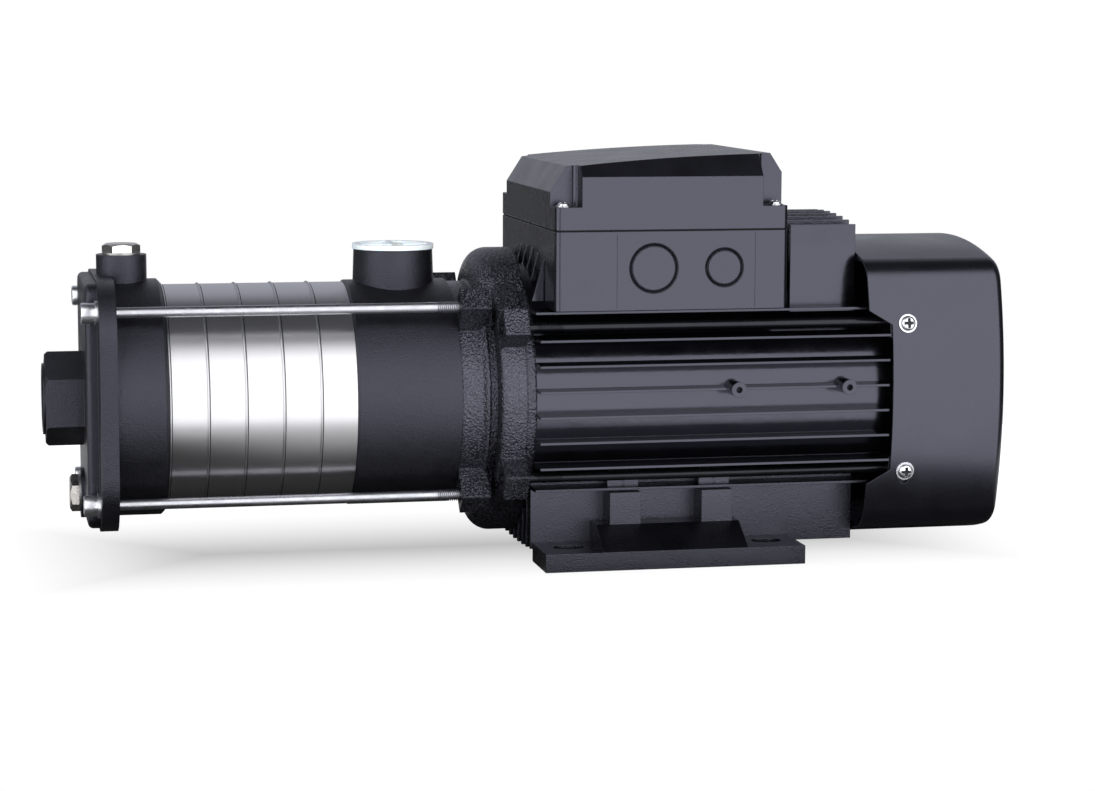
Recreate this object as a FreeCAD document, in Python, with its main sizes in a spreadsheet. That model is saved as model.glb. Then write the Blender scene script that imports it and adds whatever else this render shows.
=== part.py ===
import FreeCAD, Part
import math
import os
import re

import Sketcher
from FreeCAD import Placement, Rotation, Vector

# Horizontal multistage centrifugal pump, close-coupled to a foot-mounted motor.
# The origin is on the floor at the centre of the four foot slots. X runs along the shaft
# towards the fan, Y away from the terminal box's cable entries, and Z up.

doc = FreeCAD.newDocument("multistage_pump")

# Driving sizes in millimetres, degrees where the name says angle, and plain counts.
sizes = {
    # shaft line and the lengths that stack along it
    "shaft_height": 80,
    "front_overhang": 66,
    "housing_length": 176,
    "bracket_length": 35,
    "outlet_length": 51,
    "stage_pitch": 18,
    "stage_count": 5,
    "drum_length": 24,
    "flange_thickness": 8.3,
    "platform_height": 5.7,
    "suction_length": 19.4,
    # clearances
    "slip_gap": 0.05,
    "seat_gap": 0.1,
    "face_gap": 0.3,
    "hole_clearance": 0.3,
    # how deep a raised form starts inside the wall that carries it
    "boss_root": 40,
    "wall_overlap": 4,
    # inlet casing
    "flange_half": 60.5,
    "flange_corner": 28,
    "platform_half_width": 40,
    "platform_half_height": 59,
    "platform_corner": 7,
    "platform_edge_radius": 2.6,
    "suction_hex_radius": 23.2,
    "suction_chamfer": 1.5,
    "suction_lip_radius": 17.4,
    "suction_lip_height": 1.2,
    "port_thread_radius": 15.145,
    "drum_radius": 58,
    "drum_wall": 7,
    "drum_chamfer": 1.5,
    "sleeve_entry": 3,
    "vent_offset": 5.8,
    "vent_boss_radius": 12.2,
    "vent_boss_top": 70.2,
    "drain_drop": 46.8,
    "drain_boss_radius": 12.3,
    "drain_boss_height": 1.8,
    # vent and drain plugs
    "plug_thread_radius": 5.72,
    "plug_thread_length": 9,
    "plug_hex_radius": 9.3,
    "plug_hex_height": 4.3,
    "plug_washer_radius": 9.2,
    "plug_washer_thickness": 1,
    # tie bolts
    "rod_spread": 46,
    "rod_radius": 2.6,
    "rod_thread_radius": 2.95,
    "rod_thread_length": 22,
    "rod_engagement": 11,
    "rod_hole_radius": 3.3,
    "rod_head_radius": 5,
    "rod_head_height": 6.6,
    "rod_socket_radius": 2.9,
    "rod_socket_depth": 3.2,
    "rod_washer_radius": 6,
    "rod_washer_thickness": 1.5,
    # stage chambers and impellers
    "sleeve_radius": 55,
    "sleeve_wall": 1.5,
    "web_thickness": 1.5,
    "web_neck_radius": 17.5,
    "return_vane_inner": 21,
    "return_vane_outer": 50,
    "return_vane_height": 4.5,
    "return_vane_count": 6,
    "impeller_radius": 45,
    "impeller_disc": 1.4,
    "impeller_hub_radius": 9.5,
    "impeller_vane_inner": 16,
    "impeller_vane_setback": 0.5,
    "impeller_vane_height": 5,
    "impeller_vane_count": 6,
    "impeller_setback": 3.2,
    "vane_thickness": 1.4,
    "vane_sweep_angle": 62,
    # outlet casing
    "outlet_radius": 56,
    "outlet_wall": 5,
    "outlet_spigot": 4,
    "outlet_shoulder": 1.2,
    "discharge_offset": 25.6,
    "discharge_top": 71.2,
    "discharge_rim_radius": 19.6,
    "discharge_root_radius": 20.6,
    "discharge_relief_radius": 16.8,
    "discharge_relief_depth": 4,
    # transport cap
    "cap_radius": 20.2,
    "cap_thickness": 1.2,
    "cap_rib_height": 1.2,
    "cap_rib_width": 2.4,
    "cap_rim_width": 3,
    "cap_hub_radius": 5,
    "cap_plug_depth": 3.4,
    "cap_plug_wall": 1.6,
    "cap_overlap": 0.2,
    # shaft, seal and bearings
    "nut_thread_radius": 4.9,
    "nut_length": 7,
    "nut_hex_radius": 8.5,
    "nut_thread_tail": 3,
    "impeller_seat_radius": 6,
    "seal_seat_radius": 8,
    "bearing_bore_radius": 8.5,
    "bearing_outer_radius": 20,
    "bearing_width": 12,
    "bearing_inner_shoulder": 11.7,
    "bearing_outer_shoulder": 16.3,
    "rotor_seat_radius": 11,
    "rotor_seat_setback": 2,
    "fan_seat_radius": 7,
    "fan_seat_start": 3,
    "shaft_end_reach": 4,
    "seal_ring_radius": 15,
    "seal_ring_length": 12,
    "seal_spring_radius": 12.5,
    "seal_spring_wall": 1.6,
    "seal_spring_length": 16,
    "seal_collar_radius": 12,
    "seal_collar_width": 2,
    "seal_stationary_radius": 18.9,
    "seal_stationary_bore": 9,
    "seal_stationary_width": 6,
    "slinger_radius": 14,
    "slinger_width": 3,
    "slinger_setback": 0.5,
    # motor bracket, measured back from its front face
    "bracket_ring_radius": 54.5,
    "bracket_ring_width": 14.2,
    "bracket_ridge_start": 10.4,
    "bracket_ridge_radius": 57,
    "bracket_ridge_curve": 1.8,
    "bracket_groove_radius": 53,
    "bracket_groove_end": 17.8,
    "bracket_band_radius": 64,
    "bracket_band_curve": 3,
    "bracket_band_end": 30.4,
    "bracket_recess_radius": 62.5,
    "bracket_hump_rise": 31.3,
    "bracket_hump_radius": 40,
    "bracket_hump_start": 11,
    "bracket_hump_curve": 11,
    "bracket_hump_end": 34,
    "bracket_plate": 10,
    "bracket_hub_radius": 26,
    "bracket_inner_radius": 47,
    "seal_pocket_radius": 19,
    "seal_pocket_depth": 11,
    "seal_wall": 6,
    "slinger_pocket_radius": 17,
    "slinger_pocket_depth": 4,
    "housing_spigot": 4,
    "spigot_wall": 5,
    "rod_lug_width": 12.6,
    "rod_lug_reach": 71.5,
    "rod_lug_length": 14.2,
    "stud_lug_width": 14,
    "stud_lug_reach": 78,
    "stud_lug_start": 18.4,
    "lug_root": 48.5,
    # motor housing
    "barrel_radius": 63,
    "stator_bore": 52,
    "fin_pitch": 12.4,
    "fin_tip": 71.8,
    "fin_root": 43,
    "fin_root_thickness": 3,
    "fin_tip_thickness": 1.2,
    "side_fin_count": 6,
    "ledge_tip": 60,
    "ledge_root": 33,
    "ledge_trim": 7,
    "rib_pitch": 10.33,
    "rib_count": 10,
    "rib_thickness": 2.6,
    "rib_crest": 88,
    "rib_fall": 4,
    "rib_keel": 76,
    "rib_keel_fall": 2,
    "rib_box_gap": 7,
    "rib_rear_trim": 11.5,
    "tooth_count": 7,
    "tooth_pitch": 13.4,
    "tooth_thickness": 1.6,
    "tooth_crest": 72.7,
    "tooth_fall": 5.1,
    "tooth_foot": 41,
    "plate_boss_radius": 3.8,
    "plate_boss_reach": 77,
    "plate_boss_height": 6.2,
    "plate_boss_first": 31.4,
    "plate_boss_second": 87.5,
    "plate_boss_hole": 1.5,
    "plate_boss_hole_depth": 7,
    # through bolts
    "stud_offset_y": 60,
    "stud_offset_z": 36.6,
    "stud_radius": 2.45,
    "stud_hole_radius": 2.75,
    "stud_nut_radius": 4.6,
    "stud_nut_height": 4,
    # rotor and stator
    "stator_length": 88,
    "stator_inner_radius": 31,
    "winding_length": 14,
    "winding_outer_radius": 47,
    "winding_inner_radius": 33,
    "rotor_radius": 30.6,
    "rotor_ring_length": 6,
    "rotor_ring_radius": 29,
    # rear shield, fan and cover
    "shield_thickness": 6,
    "shield_radius": 62,
    "shield_hub_radius": 26,
    "shield_arm_length": 12,
    "shield_arm_width": 14,
    "shield_arm_root": 40,
    "shield_inset": 3,
    "shield_bore_gap": 3,
    "fan_setback": 16,
    "fan_hub_radius": 12,
    "fan_hub_overlap": 1,
    "fan_hub_length": 20,
    "fan_radius": 62,
    "fan_disc_radius": 36,
    "fan_disc_thickness": 2,
    "fan_blade_thickness": 1.8,
    "fan_blade_count": 8,
    "fan_clip_width": 1.2,
    "fan_clip_radius": 9,
    "cover_half": 75.1,
    "cover_corner": 15,
    "cover_crown": 215,
    "cover_edge_radius": 5,
    "cover_wall": 1.2,
    "cover_front": 99,
    "cover_notch_front": 110.6,
    "cover_notch_half": 36,
    "cover_notch_slope": 7,
    "cover_back": 169.5,
    "cover_screw_x": 118.2,
    "cover_screw_z": 36.6,
    "cover_screw_radius": 2,
    "cover_screw_length": 6.5,
    "cover_screw_head_radius": 3.8,
    "cover_screw_head_height": 2.2,
    "cover_hole_clearance": 0.5,
    "cover_slot_drop": 4.2,
    "cover_washer_radius": 4.6,
    "cover_washer_thickness": 0.8,
    "vent_slot_width": 4,
    "vent_slot_pitch": 8,
    "vent_slot_count": 11,
    "vent_field_radius": 50,
    # feet
    "foot_length": 130,
    "foot_outer": 80,
    "foot_inner": 48,
    "foot_plate": 9,
    "foot_slot_spacing": 100,
    "foot_slot_gauge": 125,
    "foot_slot_radius": 5,
    "foot_slot_length": 15,
    "foot_block_length": 72,
    "foot_block_top": 19.5,
    "foot_block_shoulder": 62,
    "foot_post_front": -21.5,
    "foot_post_back": 24.8,
    "foot_post_width": 15.5,
    "foot_screw_y": 53,
    "foot_screw_radius": 2.9,
    "foot_screw_head_radius": 5,
    "foot_screw_head_height": 6,
    "foot_screw_recess": 2,
    "foot_screw_clearance": 0.4,
    "foot_screw_grip": 9,
    "foot_boss_width": 10,
    "foot_boss_inset": 2,
    "foot_boss_height": 12,
    # terminal box
    "box_half_length": 58,
    "box_half_width": 67.3,
    "box_bottom": 44.9,
    "box_joint": 83.1,
    "box_wall": 3,
    "box_corner": 3,
    "knockout_large": 12.3,
    "knockout_small": 9.75,
    "knockout_groove": 1.8,
    "knockout_depth": 1.5,
    "knockout_large_x": -9.4,
    "knockout_small_x": 25.9,
    "knockout_height": 65.2,
    "gasket_thickness": 0.8,
    "gasket_setback": 0.4,
    "lid_shoulder_front": 101.7,
    "lid_shoulder_back": 110.6,
    "lid_crest_front": 114.2,
    "lid_crest_back": 119.9,
    "lid_crown": 1190,
    "lid_bevel_front": 8,
    "lid_bevel_back": 6,
    "lid_face_top": 109.3,
    "lid_face_bevel": 10,
    "lid_wall": 2.5,
    "pocket_floor": 94.9,
    "pocket_length": 13,
    "pocket_depth": 13,
    "lid_column_radius": 2.5,
    "lid_screw_x": 53,
    "lid_screw_y": 61,
    "lid_screw_radius": 2,
    "lid_screw_reach": 24,
    "lid_screw_head_radius": 3.6,
    "lid_screw_head_height": 2.2,
    "lid_post_radius": 4.4,
    "block_length": 52,
    "block_width": 26,
    "block_height": 13,
    "terminal_radius": 2,
    "terminal_height": 9,
    "terminal_root": 5,
    "terminal_pitch_x": 14,
    "terminal_pitch_y": 14,
    "link_width": 7,
    "link_thickness": 1,
    "block_sink": 1,
    "capacitor_radius": 17,
    "capacitor_length": 70,
}

sheet = doc.addObject("Spreadsheet::Sheet", "sizes")
for row, (alias, amount) in enumerate(sizes.items(), start=1):
    sheet.set(f"A{row}", alias)
    sheet.set(f"B{row}", str(amount))
    sheet.setAlias(f"B{row}", alias)
doc.recompute()

# Places along the shaft, written with the names above.
bracket_front = "(0 - front_overhang - bracket_length)"
outlet_front = "(0 - front_overhang - bracket_length - outlet_length)"
stages_front = f"({outlet_front} - stage_pitch * stage_count)"
flange_back = f"({stages_front} - drum_length)"
flange_front = f"({flange_back} - flange_thickness)"
housing_front = "(0 - front_overhang)"
housing_back = "(housing_length - front_overhang)"
front_bearing = f"({bracket_front} + seal_pocket_depth + seal_wall + slinger_pocket_depth)"
rear_bearing = f"({housing_back} - bearing_width)"
nut_front = f"({stages_front} - nut_length)"
seal_seat_front = f"({bracket_front} + seal_pocket_depth - seal_stationary_width)"
seal_ring_front = f"({seal_seat_front} - slip_gap - seal_ring_length)"
seal_spring_front = f"({seal_ring_front} - seal_spring_length)"
fan_front = f"({housing_back} + fan_setback)"
stud_angle = "(atan2(stud_offset_z; stud_offset_y) / 1 deg)"
ledge_level = "((side_fin_count + 1) / 2 * fin_pitch)"
ledge_bottom = f"(shaft_height - {ledge_level} - fin_root_thickness / 2)"
crown_angle = "(asin(cover_screw_z / cover_crown) / 1 deg)"
crown_fall = "(cover_crown - sqrt(cover_crown ^ 2 - cover_screw_z ^ 2))"
shaft_start = f"({nut_front} - nut_thread_tail)"
cavity_radius = "(drum_radius - drum_wall)"
spigot_radius = "(stator_bore - seat_gap)"
lid_bottom = "(box_joint + gasket_thickness)"

# Cutting tools overrun the faces that they open by 1 mm.

along_x = Rotation(Vector(0, 1, 0), 90)
along_minus_x = Rotation(Vector(0, 1, 0), -90)
along_y = Rotation(Vector(1, 0, 0), -90)
along_minus_y = Rotation(Vector(1, 0, 0), 90)
upright = Rotation()

quarters = [(-1, -1), (1, -1), (1, 1), (-1, 1)]
pieces = {}


def bound(text):
    """The text as an expression that reads the sheet."""
    return re.sub(
        r"[a-z_]+[a-z_0-9]*",
        lambda word: "sizes." + word.group() if word.group() in sizes else word.group(),
        text,
    )


def number(text):
    """The value of a size text now, for first outlines and loop counts."""
    sheet.set("D1", "=" + text)
    sheet.recompute()
    result = float(sheet.get("D1"))
    sheet.clear("D1")
    return result


def drive(thing, **texts):
    """Bind properties of an object to the sheet."""
    for prop, text in texts.items():
        thing.setExpression(prop, bound(text))
    return thing


def place(thing, x="0", y="0", z="0", turn=upright):
    """Put an object at a point that is written in sizes."""
    thing.Placement = Placement(Vector(0, 0, 0), turn)
    for axis, text in (("x", x), ("y", y), ("z", z)):
        if text != "0":
            thing.setExpression(f".Placement.Base.{axis}", bound(text))
    return thing


def cylinder(name, radius, height, x="0", y="0", z="0", turn=upright):
    thing = doc.addObject("Part::Cylinder", name)
    drive(thing, Radius=radius, Height=height)
    return place(thing, x, y, z, turn)


def cone(name, start_radius, end_radius, height, x="0", y="0", z="0", turn=upright):
    thing = doc.addObject("Part::Cone", name)
    drive(thing, Radius1=start_radius, Radius2=end_radius, Height=height)
    return place(thing, x, y, z, turn)


def hexagon(name, radius, height, x="0", y="0", z="0", turn=upright):
    thing = doc.addObject("Part::Prism", name)
    thing.Polygon = 6
    drive(thing, Circumradius=radius, Height=height)
    return place(thing, x, y, z, turn)


def block(name, length, width, height, x="0", y="0", z="0", turn=upright):
    thing = doc.addObject("Part::Box", name)
    drive(thing, Length=length, Width=width, Height=height)
    return place(thing, x, y, z, turn)


def fused(name, parts):
    thing = doc.addObject("Part::MultiFuse", name)
    thing.Shapes = parts
    thing.Refine = True
    return thing


def shared(name, parts):
    thing = doc.addObject("Part::MultiCommon", name)
    thing.Shapes = parts
    thing.Refine = True
    return thing


def less(name, base, tools):
    """The base with every tool cut away."""
    thing = doc.addObject("Part::Cut", name)
    thing.Base = base
    thing.Tool = tools[0] if len(tools) == 1 else fused(name + "_tools", tools)
    thing.Refine = True
    return thing


def group(name, parts):
    """Loose like pieces that share one node."""
    thing = doc.addObject("Part::Compound", name)
    thing.Links = parts
    return thing


def keep(node, thing):
    """Name a finished piece."""
    thing.Label = node
    pieces[node] = thing
    return thing


def new_body(name, x="0", y="0", z="0", turn=upright):
    return place(doc.addObject("PartDesign::Body", name), x, y, z, turn)


def sketch_on(body, role, name, offset=None):
    """A sketch on one of the body's own origin planes."""
    plane = next(item for item in body.Origin.OriginFeatures if item.Role == role)
    sketch = body.newObject("Sketcher::SketchObject", name)
    sketch.AttachmentSupport = [(plane, "")]
    sketch.MapMode = "FlatFace"
    if offset:
        sketch.setExpression(".AttachmentOffset.Base.z", bound(offset))
    return sketch


def outline(sketch, points):
    """A closed outline, each corner held by two driven distances.

    A point may carry a third text, the radius of an arc to the next point that bows to the left
    of the way there.
    """
    corners = [Vector(number(point[0]), number(point[1]), 0) for point in points]
    count = len(points)
    starts = []
    ends = []
    for i, point in enumerate(points):
        first, last = corners[i], corners[(i + 1) % count]
        starts.append(1 if len(point) == 2 else 2)
        ends.append(2 if len(point) == 2 else 1)
        if len(point) == 2:
            sketch.addGeometry(Part.LineSegment(first, last))
            continue
        radius = number(point[2])
        chord = last - first
        inward = Vector(chord.y, -chord.x, 0).normalize()
        centre = (first + last) / 2 + inward * math.sqrt(radius ** 2 - chord.Length ** 2 / 4)
        begin = math.atan2(last.y - centre.y, last.x - centre.x)
        sweep = 2 * math.asin(chord.Length / 2 / radius)
        circle = Part.Circle(centre, Vector(0, 0, 1), radius)
        sketch.addGeometry(Part.ArcOfCircle(circle, begin, begin + sweep))
    for i, point in enumerate(points):
        after = (i + 1) % count
        sketch.addConstraint(Sketcher.Constraint("Coincident", i, ends[i], after, starts[after]))
        for kind, text, amount in zip(("DistanceX", "DistanceY"), point, corners[i]):
            index = sketch.addConstraint(Sketcher.Constraint(kind, i, starts[i], amount))
            sketch.setExpression(f"Constraints[{index}]", bound(text))
        if len(point) == 3:
            index = sketch.addConstraint(Sketcher.Constraint("Radius", i, number(point[2])))
            sketch.setExpression(f"Constraints[{index}]", bound(point[2]))


def hold_corners(sketch, centre_x, centre_y, radius):
    """Join four corner arcs with the four sides after them, and hold the arcs' centres and radii."""
    for i, (a, b) in enumerate(quarters):
        sketch.addConstraint(
            [
                Sketcher.Constraint("Tangent", i, 2, 4 + i, 1),
                Sketcher.Constraint("Tangent", 4 + i, 2, (i + 1) % 4, 1),
            ]
        )
        for kind, side, middle in (("DistanceX", a, centre_x), ("DistanceY", b, centre_y)):
            index = sketch.addConstraint(Sketcher.Constraint(kind, i, 3, side * number(middle)))
            sketch.setExpression(f"Constraints[{index}]", bound(f"{side} * {middle}"))
        index = sketch.addConstraint(Sketcher.Constraint("Radius", i, number(radius)))
        sketch.setExpression(f"Constraints[{index}]", bound(radius))


def round_outline(sketch, half_x, half_y, radius):
    """A rectangle about the sketch's origin with four equal round corners."""
    centre_x, centre_y = f"({half_x} - {radius})", f"({half_y} - {radius})"
    for i, (a, b) in enumerate(quarters):
        start = math.radians(180 + 90 * i)
        centre = Vector(a * number(centre_x), b * number(centre_y), 0)
        circle = Part.Circle(centre, Vector(0, 0, 1), number(radius))
        sketch.addGeometry(Part.ArcOfCircle(circle, start, start + math.pi / 2))
    for i in range(4):
        first, second = sketch.Geometry[i], sketch.Geometry[(i + 1) % 4]
        sketch.addGeometry(Part.LineSegment(first.EndPoint, second.StartPoint))
    hold_corners(sketch, centre_x, centre_y, radius)


def crowned_outline(sketch, half, crown, radius):
    """A square about the sketch's origin with four bowed sides and four equal round corners."""
    sink = f"({crown} - {half})"
    middle = f"((sqrt(2 * ({crown} - {radius}) ^ 2 - {sink} ^ 2) - {sink}) / 2)"
    corner, low = number(middle), number(sink)
    swing = math.atan2(corner, corner + low)
    upright = Vector(0, 0, 1)
    for i, (a, b) in enumerate(quarters):
        facing = math.radians(225 + 90 * i)
        circle = Part.Circle(Vector(a * corner, b * corner, 0), upright, number(radius))
        sketch.addGeometry(
            Part.ArcOfCircle(circle, facing - math.pi / 4 + swing, facing + math.pi / 4 - swing)
        )
    for i in range(4):
        facing = math.radians(270 + 90 * i)
        circle = Part.Circle(
            Vector(-low * math.cos(facing), -low * math.sin(facing), 0), upright, number(crown)
        )
        sketch.addGeometry(Part.ArcOfCircle(circle, facing - swing, facing + swing))
    hold_corners(sketch, middle, middle, radius)
    for i in range(4):
        index = sketch.addConstraint(Sketcher.Constraint("Radius", 4 + i, number(crown)))
        sketch.setExpression(f"Constraints[{index}]", bound(crown))


def pad(body, sketch, length, name):
    feature = body.newObject("PartDesign::Pad", name)
    feature.Profile = sketch
    feature.setExpression("Length", bound(length))
    body.Tip = feature
    return feature


def turned(name, points, x, z="shaft_height"):
    """A body turned about the shaft line from an outline of (distance along X, radius)."""
    body = new_body(name, x=x, z=z)
    sketch = sketch_on(body, "XY_Plane", name + "_profile")
    outline(sketch, points)
    feature = body.newObject("PartDesign::Revolution", name + "_turned")
    feature.Profile = sketch
    feature.ReferenceAxis = (sketch, ["H_Axis"])
    feature.Angle = 360
    body.Tip = feature
    return body


def round_block(name, half_x, half_y, radius, length, role, x="0", y="0", z="0"):
    """A block with four round edges, raised from one of the origin planes."""
    body = new_body(name, x, y, z)
    sketch = sketch_on(body, role, name + "_outline")
    round_outline(sketch, half_x, half_y, radius)
    pad(body, sketch, length, name + "_raised")
    return body


def extruded(name, points, length, role, x="0", y="0", z="0", midplane=False):
    """A body raised from a straight outline."""
    body = new_body(name, x, y, z)
    sketch = sketch_on(body, role, name + "_outline")
    outline(sketch, points)
    feature = pad(body, sketch, length, name + "_raised")
    feature.Midplane = midplane
    return body


def vane_outline(inner, outer, turn):
    """A swept vane in three straight runs: corners out along one side and back along the other."""
    corners = []
    for side, steps in ((0, range(4)), (1, reversed(range(4)))):
        for step in steps:
            radius = f"({inner} + ({outer} - {inner}) * {step} / 3)"
            angle = f"({turn} * vane_sweep_angle * {step} / 3 + {side} * vane_thickness / {radius} * 57.3)"
            corners.append((f"{radius} * cos({angle})", f"{radius} * sin({angle})"))
    return corners


def add_vanes(body, name, inner, outer, height, count, offset, turn):
    """A ring of vanes raised from a plane across the shaft line."""
    sketch = sketch_on(body, "YZ_Plane", name + "_vane", offset)
    outline(sketch, vane_outline(inner, outer, turn))
    vane = pad(body, sketch, height, name + "_vane_raised")
    ring = body.newObject("PartDesign::PolarPattern", name + "_vanes")
    ring.Originals = [vane]
    ring.Axis = (sketch, ["N_Axis"])
    ring.Angle = 360
    ring.setExpression("Occurrences", bound(count))
    body.Tip = ring


def rod_places():
    """Y and Z of the four tie bolts."""
    return [(f"{a} * rod_spread", f"shaft_height + {b} * rod_spread") for a, b in quarters]


def stud_places():
    """Y and Z of the four through bolts of the motor."""
    return [(f"{a} * stud_offset_y", f"shaft_height + {b} * stud_offset_z") for a, b in quarters]


def tilted(thing, x, y, z, angle):
    """Put an object at a point with a driven turn about X."""
    place(thing, x, y, z, Rotation(Vector(1, 0, 0), 90))
    thing.setExpression(".Placement.Rotation.Angle", bound(angle))
    return thing


def lug(name, angle, reach, width, length, x):
    """A straight lug that points out from the shaft line."""
    low_y = f"{width} / 2 * sin({angle})"
    low_z = f"shaft_height - {width} / 2 * cos({angle})"
    return tilted(block(name, length, reach, width), x, low_y, low_z, angle)


def face_at(shape, x):
    """The name of the flat face that stands furthest along X, or nearest with x below zero."""
    order = sorted(range(len(shape.Faces)), key=lambda i: x * shape.Faces[i].CenterOfMass.x)
    return f"Face{order[-1] + 1}"


def round_edge(body, name, x, radius):
    """Round the edge of the body's face that stands furthest along X, or nearest with x below zero."""
    doc.recompute()
    base = body.Tip
    edge = body.newObject("PartDesign::Fillet", name)
    edge.Base = (base, [face_at(base.Shape, x)])
    edge.setExpression("Radius", bound(radius))
    body.Tip = edge
    return body


def make_inlet_casing():
    flange = round_block(
        "inlet_flange", "flange_half", "flange_half", "flange_corner",
        "flange_thickness", "YZ_Plane", x=flange_front, z="shaft_height",
    )
    platform = round_block(
        "inlet_platform", "platform_half_width", "platform_half_height", "platform_corner",
        "platform_height", "YZ_Plane", x=f"{flange_front} - platform_height", z="shaft_height",
    )
    round_edge(platform, "inlet_platform_edge", -1, "platform_edge_radius")
    drum = turned(
        "inlet_drum",
        [
            ("0", "0"),
            ("drum_length", "0"),
            ("drum_length", "drum_radius - drum_chamfer"),
            ("drum_length - drum_chamfer", "drum_radius"),
            ("0", "drum_radius"),
        ],
        flange_back,
    )
    suction_front = f"({flange_front} - platform_height - suction_length)"
    neck_turned = turned(
        "suction_turned",
        [
            ("0", "0"),
            ("0", "suction_lip_radius"),
            ("suction_lip_height", "suction_lip_radius"),
            ("suction_lip_height", "suction_hex_radius - suction_chamfer"),
            ("suction_lip_height + suction_chamfer", "suction_hex_radius"),
            ("suction_length", "suction_hex_radius"),
            ("suction_length", "0"),
        ],
        suction_front,
    )
    neck_hexagon = hexagon(
        "suction_hex", "suction_hex_radius", "suction_length", x=suction_front, z="shaft_height", turn=along_x
    )
    neck = shared("suction_neck", [neck_turned, neck_hexagon])
    vent_x = f"({flange_back} + vent_offset)"
    vent_boss = cylinder(
        "vent_boss", "vent_boss_radius", "vent_boss_top - boss_root", x=vent_x, z="shaft_height + boss_root"
    )
    drain_x = f"({flange_front} - platform_height - drain_boss_height)"
    drain_z = "(shaft_height - drain_drop)"
    drain_boss = cylinder(
        "drain_boss", "drain_boss_radius", "platform_height + drain_boss_height",
        x=drain_x, z=drain_z, turn=along_x
    )
    solid = fused("inlet_solid", [flange, platform, drum, neck, vent_boss, drain_boss])
    cavity = cylinder(
        "inlet_cavity", cavity_radius, "drum_length + 1", x=flange_back, z="shaft_height", turn=along_x
    )
    seat = cylinder(
        "sleeve_seat", "sleeve_radius + seat_gap", "sleeve_entry + 1",
        x=f"{stages_front} - sleeve_entry", z="shaft_height", turn=along_x,
    )
    port = cylinder(
        "suction_bore", "port_thread_radius", "suction_length + platform_height + flange_thickness + 2",
        x=f"{suction_front} - 1", z="shaft_height", turn=along_x,
    )
    vent = cylinder(
        "vent_hole", "plug_thread_radius", "vent_boss_top - boss_root",
        x=vent_x, z="shaft_height + boss_root + 1"
    )
    drain = cylinder(
        "drain_hole", "plug_thread_radius", "platform_height + drain_boss_height + flange_thickness + 2",
        x=f"{drain_x} - 1", z=drain_z, turn=along_x,
    )
    holes = [
        cylinder(
            f"rod_hole_{i}", "rod_hole_radius", "flange_thickness + 2", f"{flange_front} - 1", y, z, along_x
        )
        for i, (y, z) in enumerate(rod_places())
    ]
    keep("inlet_casing", less("inlet_casting", solid, [cavity, seat, port, vent, drain] + holes))


def make_plug(node, x, z, turn, washer_x, washer_z, thread_x, thread_z):
    """A hexagon-head plug with its sealing washer."""
    head = hexagon(node + "_head", "plug_hex_radius", "plug_hex_height", x=x, z=z, turn=turn)
    thread = cylinder(
        node + "_thread", "plug_thread_radius - slip_gap", "plug_thread_length",
        x=thread_x, z=thread_z, turn=turn
    )
    keep(node, fused(node + "_solid", [head, thread]))
    disc = cylinder(
        node + "_disc", "plug_washer_radius", "plug_washer_thickness", x=washer_x, z=washer_z, turn=turn
    )
    eye = cylinder(
        node + "_eye", "plug_thread_radius + slip_gap", "plug_washer_thickness + 2",
        x=washer_x if turn == upright else f"{washer_x} + 1",
        z=f"{washer_z} - 1" if turn == upright else washer_z, turn=turn,
    )
    keep(node + "_washer", less(node + "_ring", disc, [eye]))


def make_plugs():
    vent_x = f"({flange_back} + vent_offset)"
    seat_z = "(shaft_height + vent_boss_top)"
    make_plug(
        "priming_plug", vent_x, f"{seat_z} + plug_washer_thickness", upright,
        vent_x, seat_z, vent_x, f"{seat_z} + plug_washer_thickness - plug_thread_length",
    )
    drain_z = "(shaft_height - drain_drop)"
    seat_x = f"({flange_front} - platform_height - drain_boss_height)"
    make_plug(
        "drain_plug", f"{seat_x} - plug_washer_thickness", drain_z, along_minus_x,
        seat_x, drain_z, f"{seat_x} - plug_washer_thickness + plug_thread_length", drain_z,
    )


def make_tie_bolts():
    head_x = f"({flange_front} - rod_washer_thickness - rod_head_height)"
    bolts = []
    washers = []
    for i, (y, z) in enumerate(rod_places()):
        head = cylinder(f"rod_head_{i}", "rod_head_radius", "rod_head_height", head_x, y, z, along_x)
        shank_end = f"({bracket_front} + rod_engagement - rod_thread_length)"
        shank_x = f"({head_x} + rod_head_height)"
        shank = cylinder(f"rod_shank_{i}", "rod_radius", f"{shank_end} - {shank_x}", shank_x, y, z, along_x)
        thread = cylinder(
            f"rod_thread_{i}", "rod_thread_radius", "rod_thread_length", shank_end, y, z, along_x
        )
        socket = hexagon(
            f"rod_socket_{i}", "rod_socket_radius", "rod_socket_depth + 1", f"{head_x} - 1", y, z, along_x
        )
        bolts.append(less(f"rod_{i}", fused(f"rod_solid_{i}", [head, shank, thread]), [socket]))
        washer_x = f"({flange_front} - rod_washer_thickness)"
        disc = cylinder(f"rod_disc_{i}", "rod_washer_radius", "rod_washer_thickness", washer_x, y, z, along_x)
        eye = cylinder(
            f"rod_eye_{i}", "rod_hole_radius", "rod_washer_thickness + 2", f"{washer_x} - 1", y, z, along_x
        )
        washers.append(less(f"rod_washer_{i}", disc, [eye]))
    keep("tie_bolts", group("tie_bolt_set", bolts))
    keep("tie_bolt_washers", group("tie_bolt_washer_set", washers))


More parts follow.
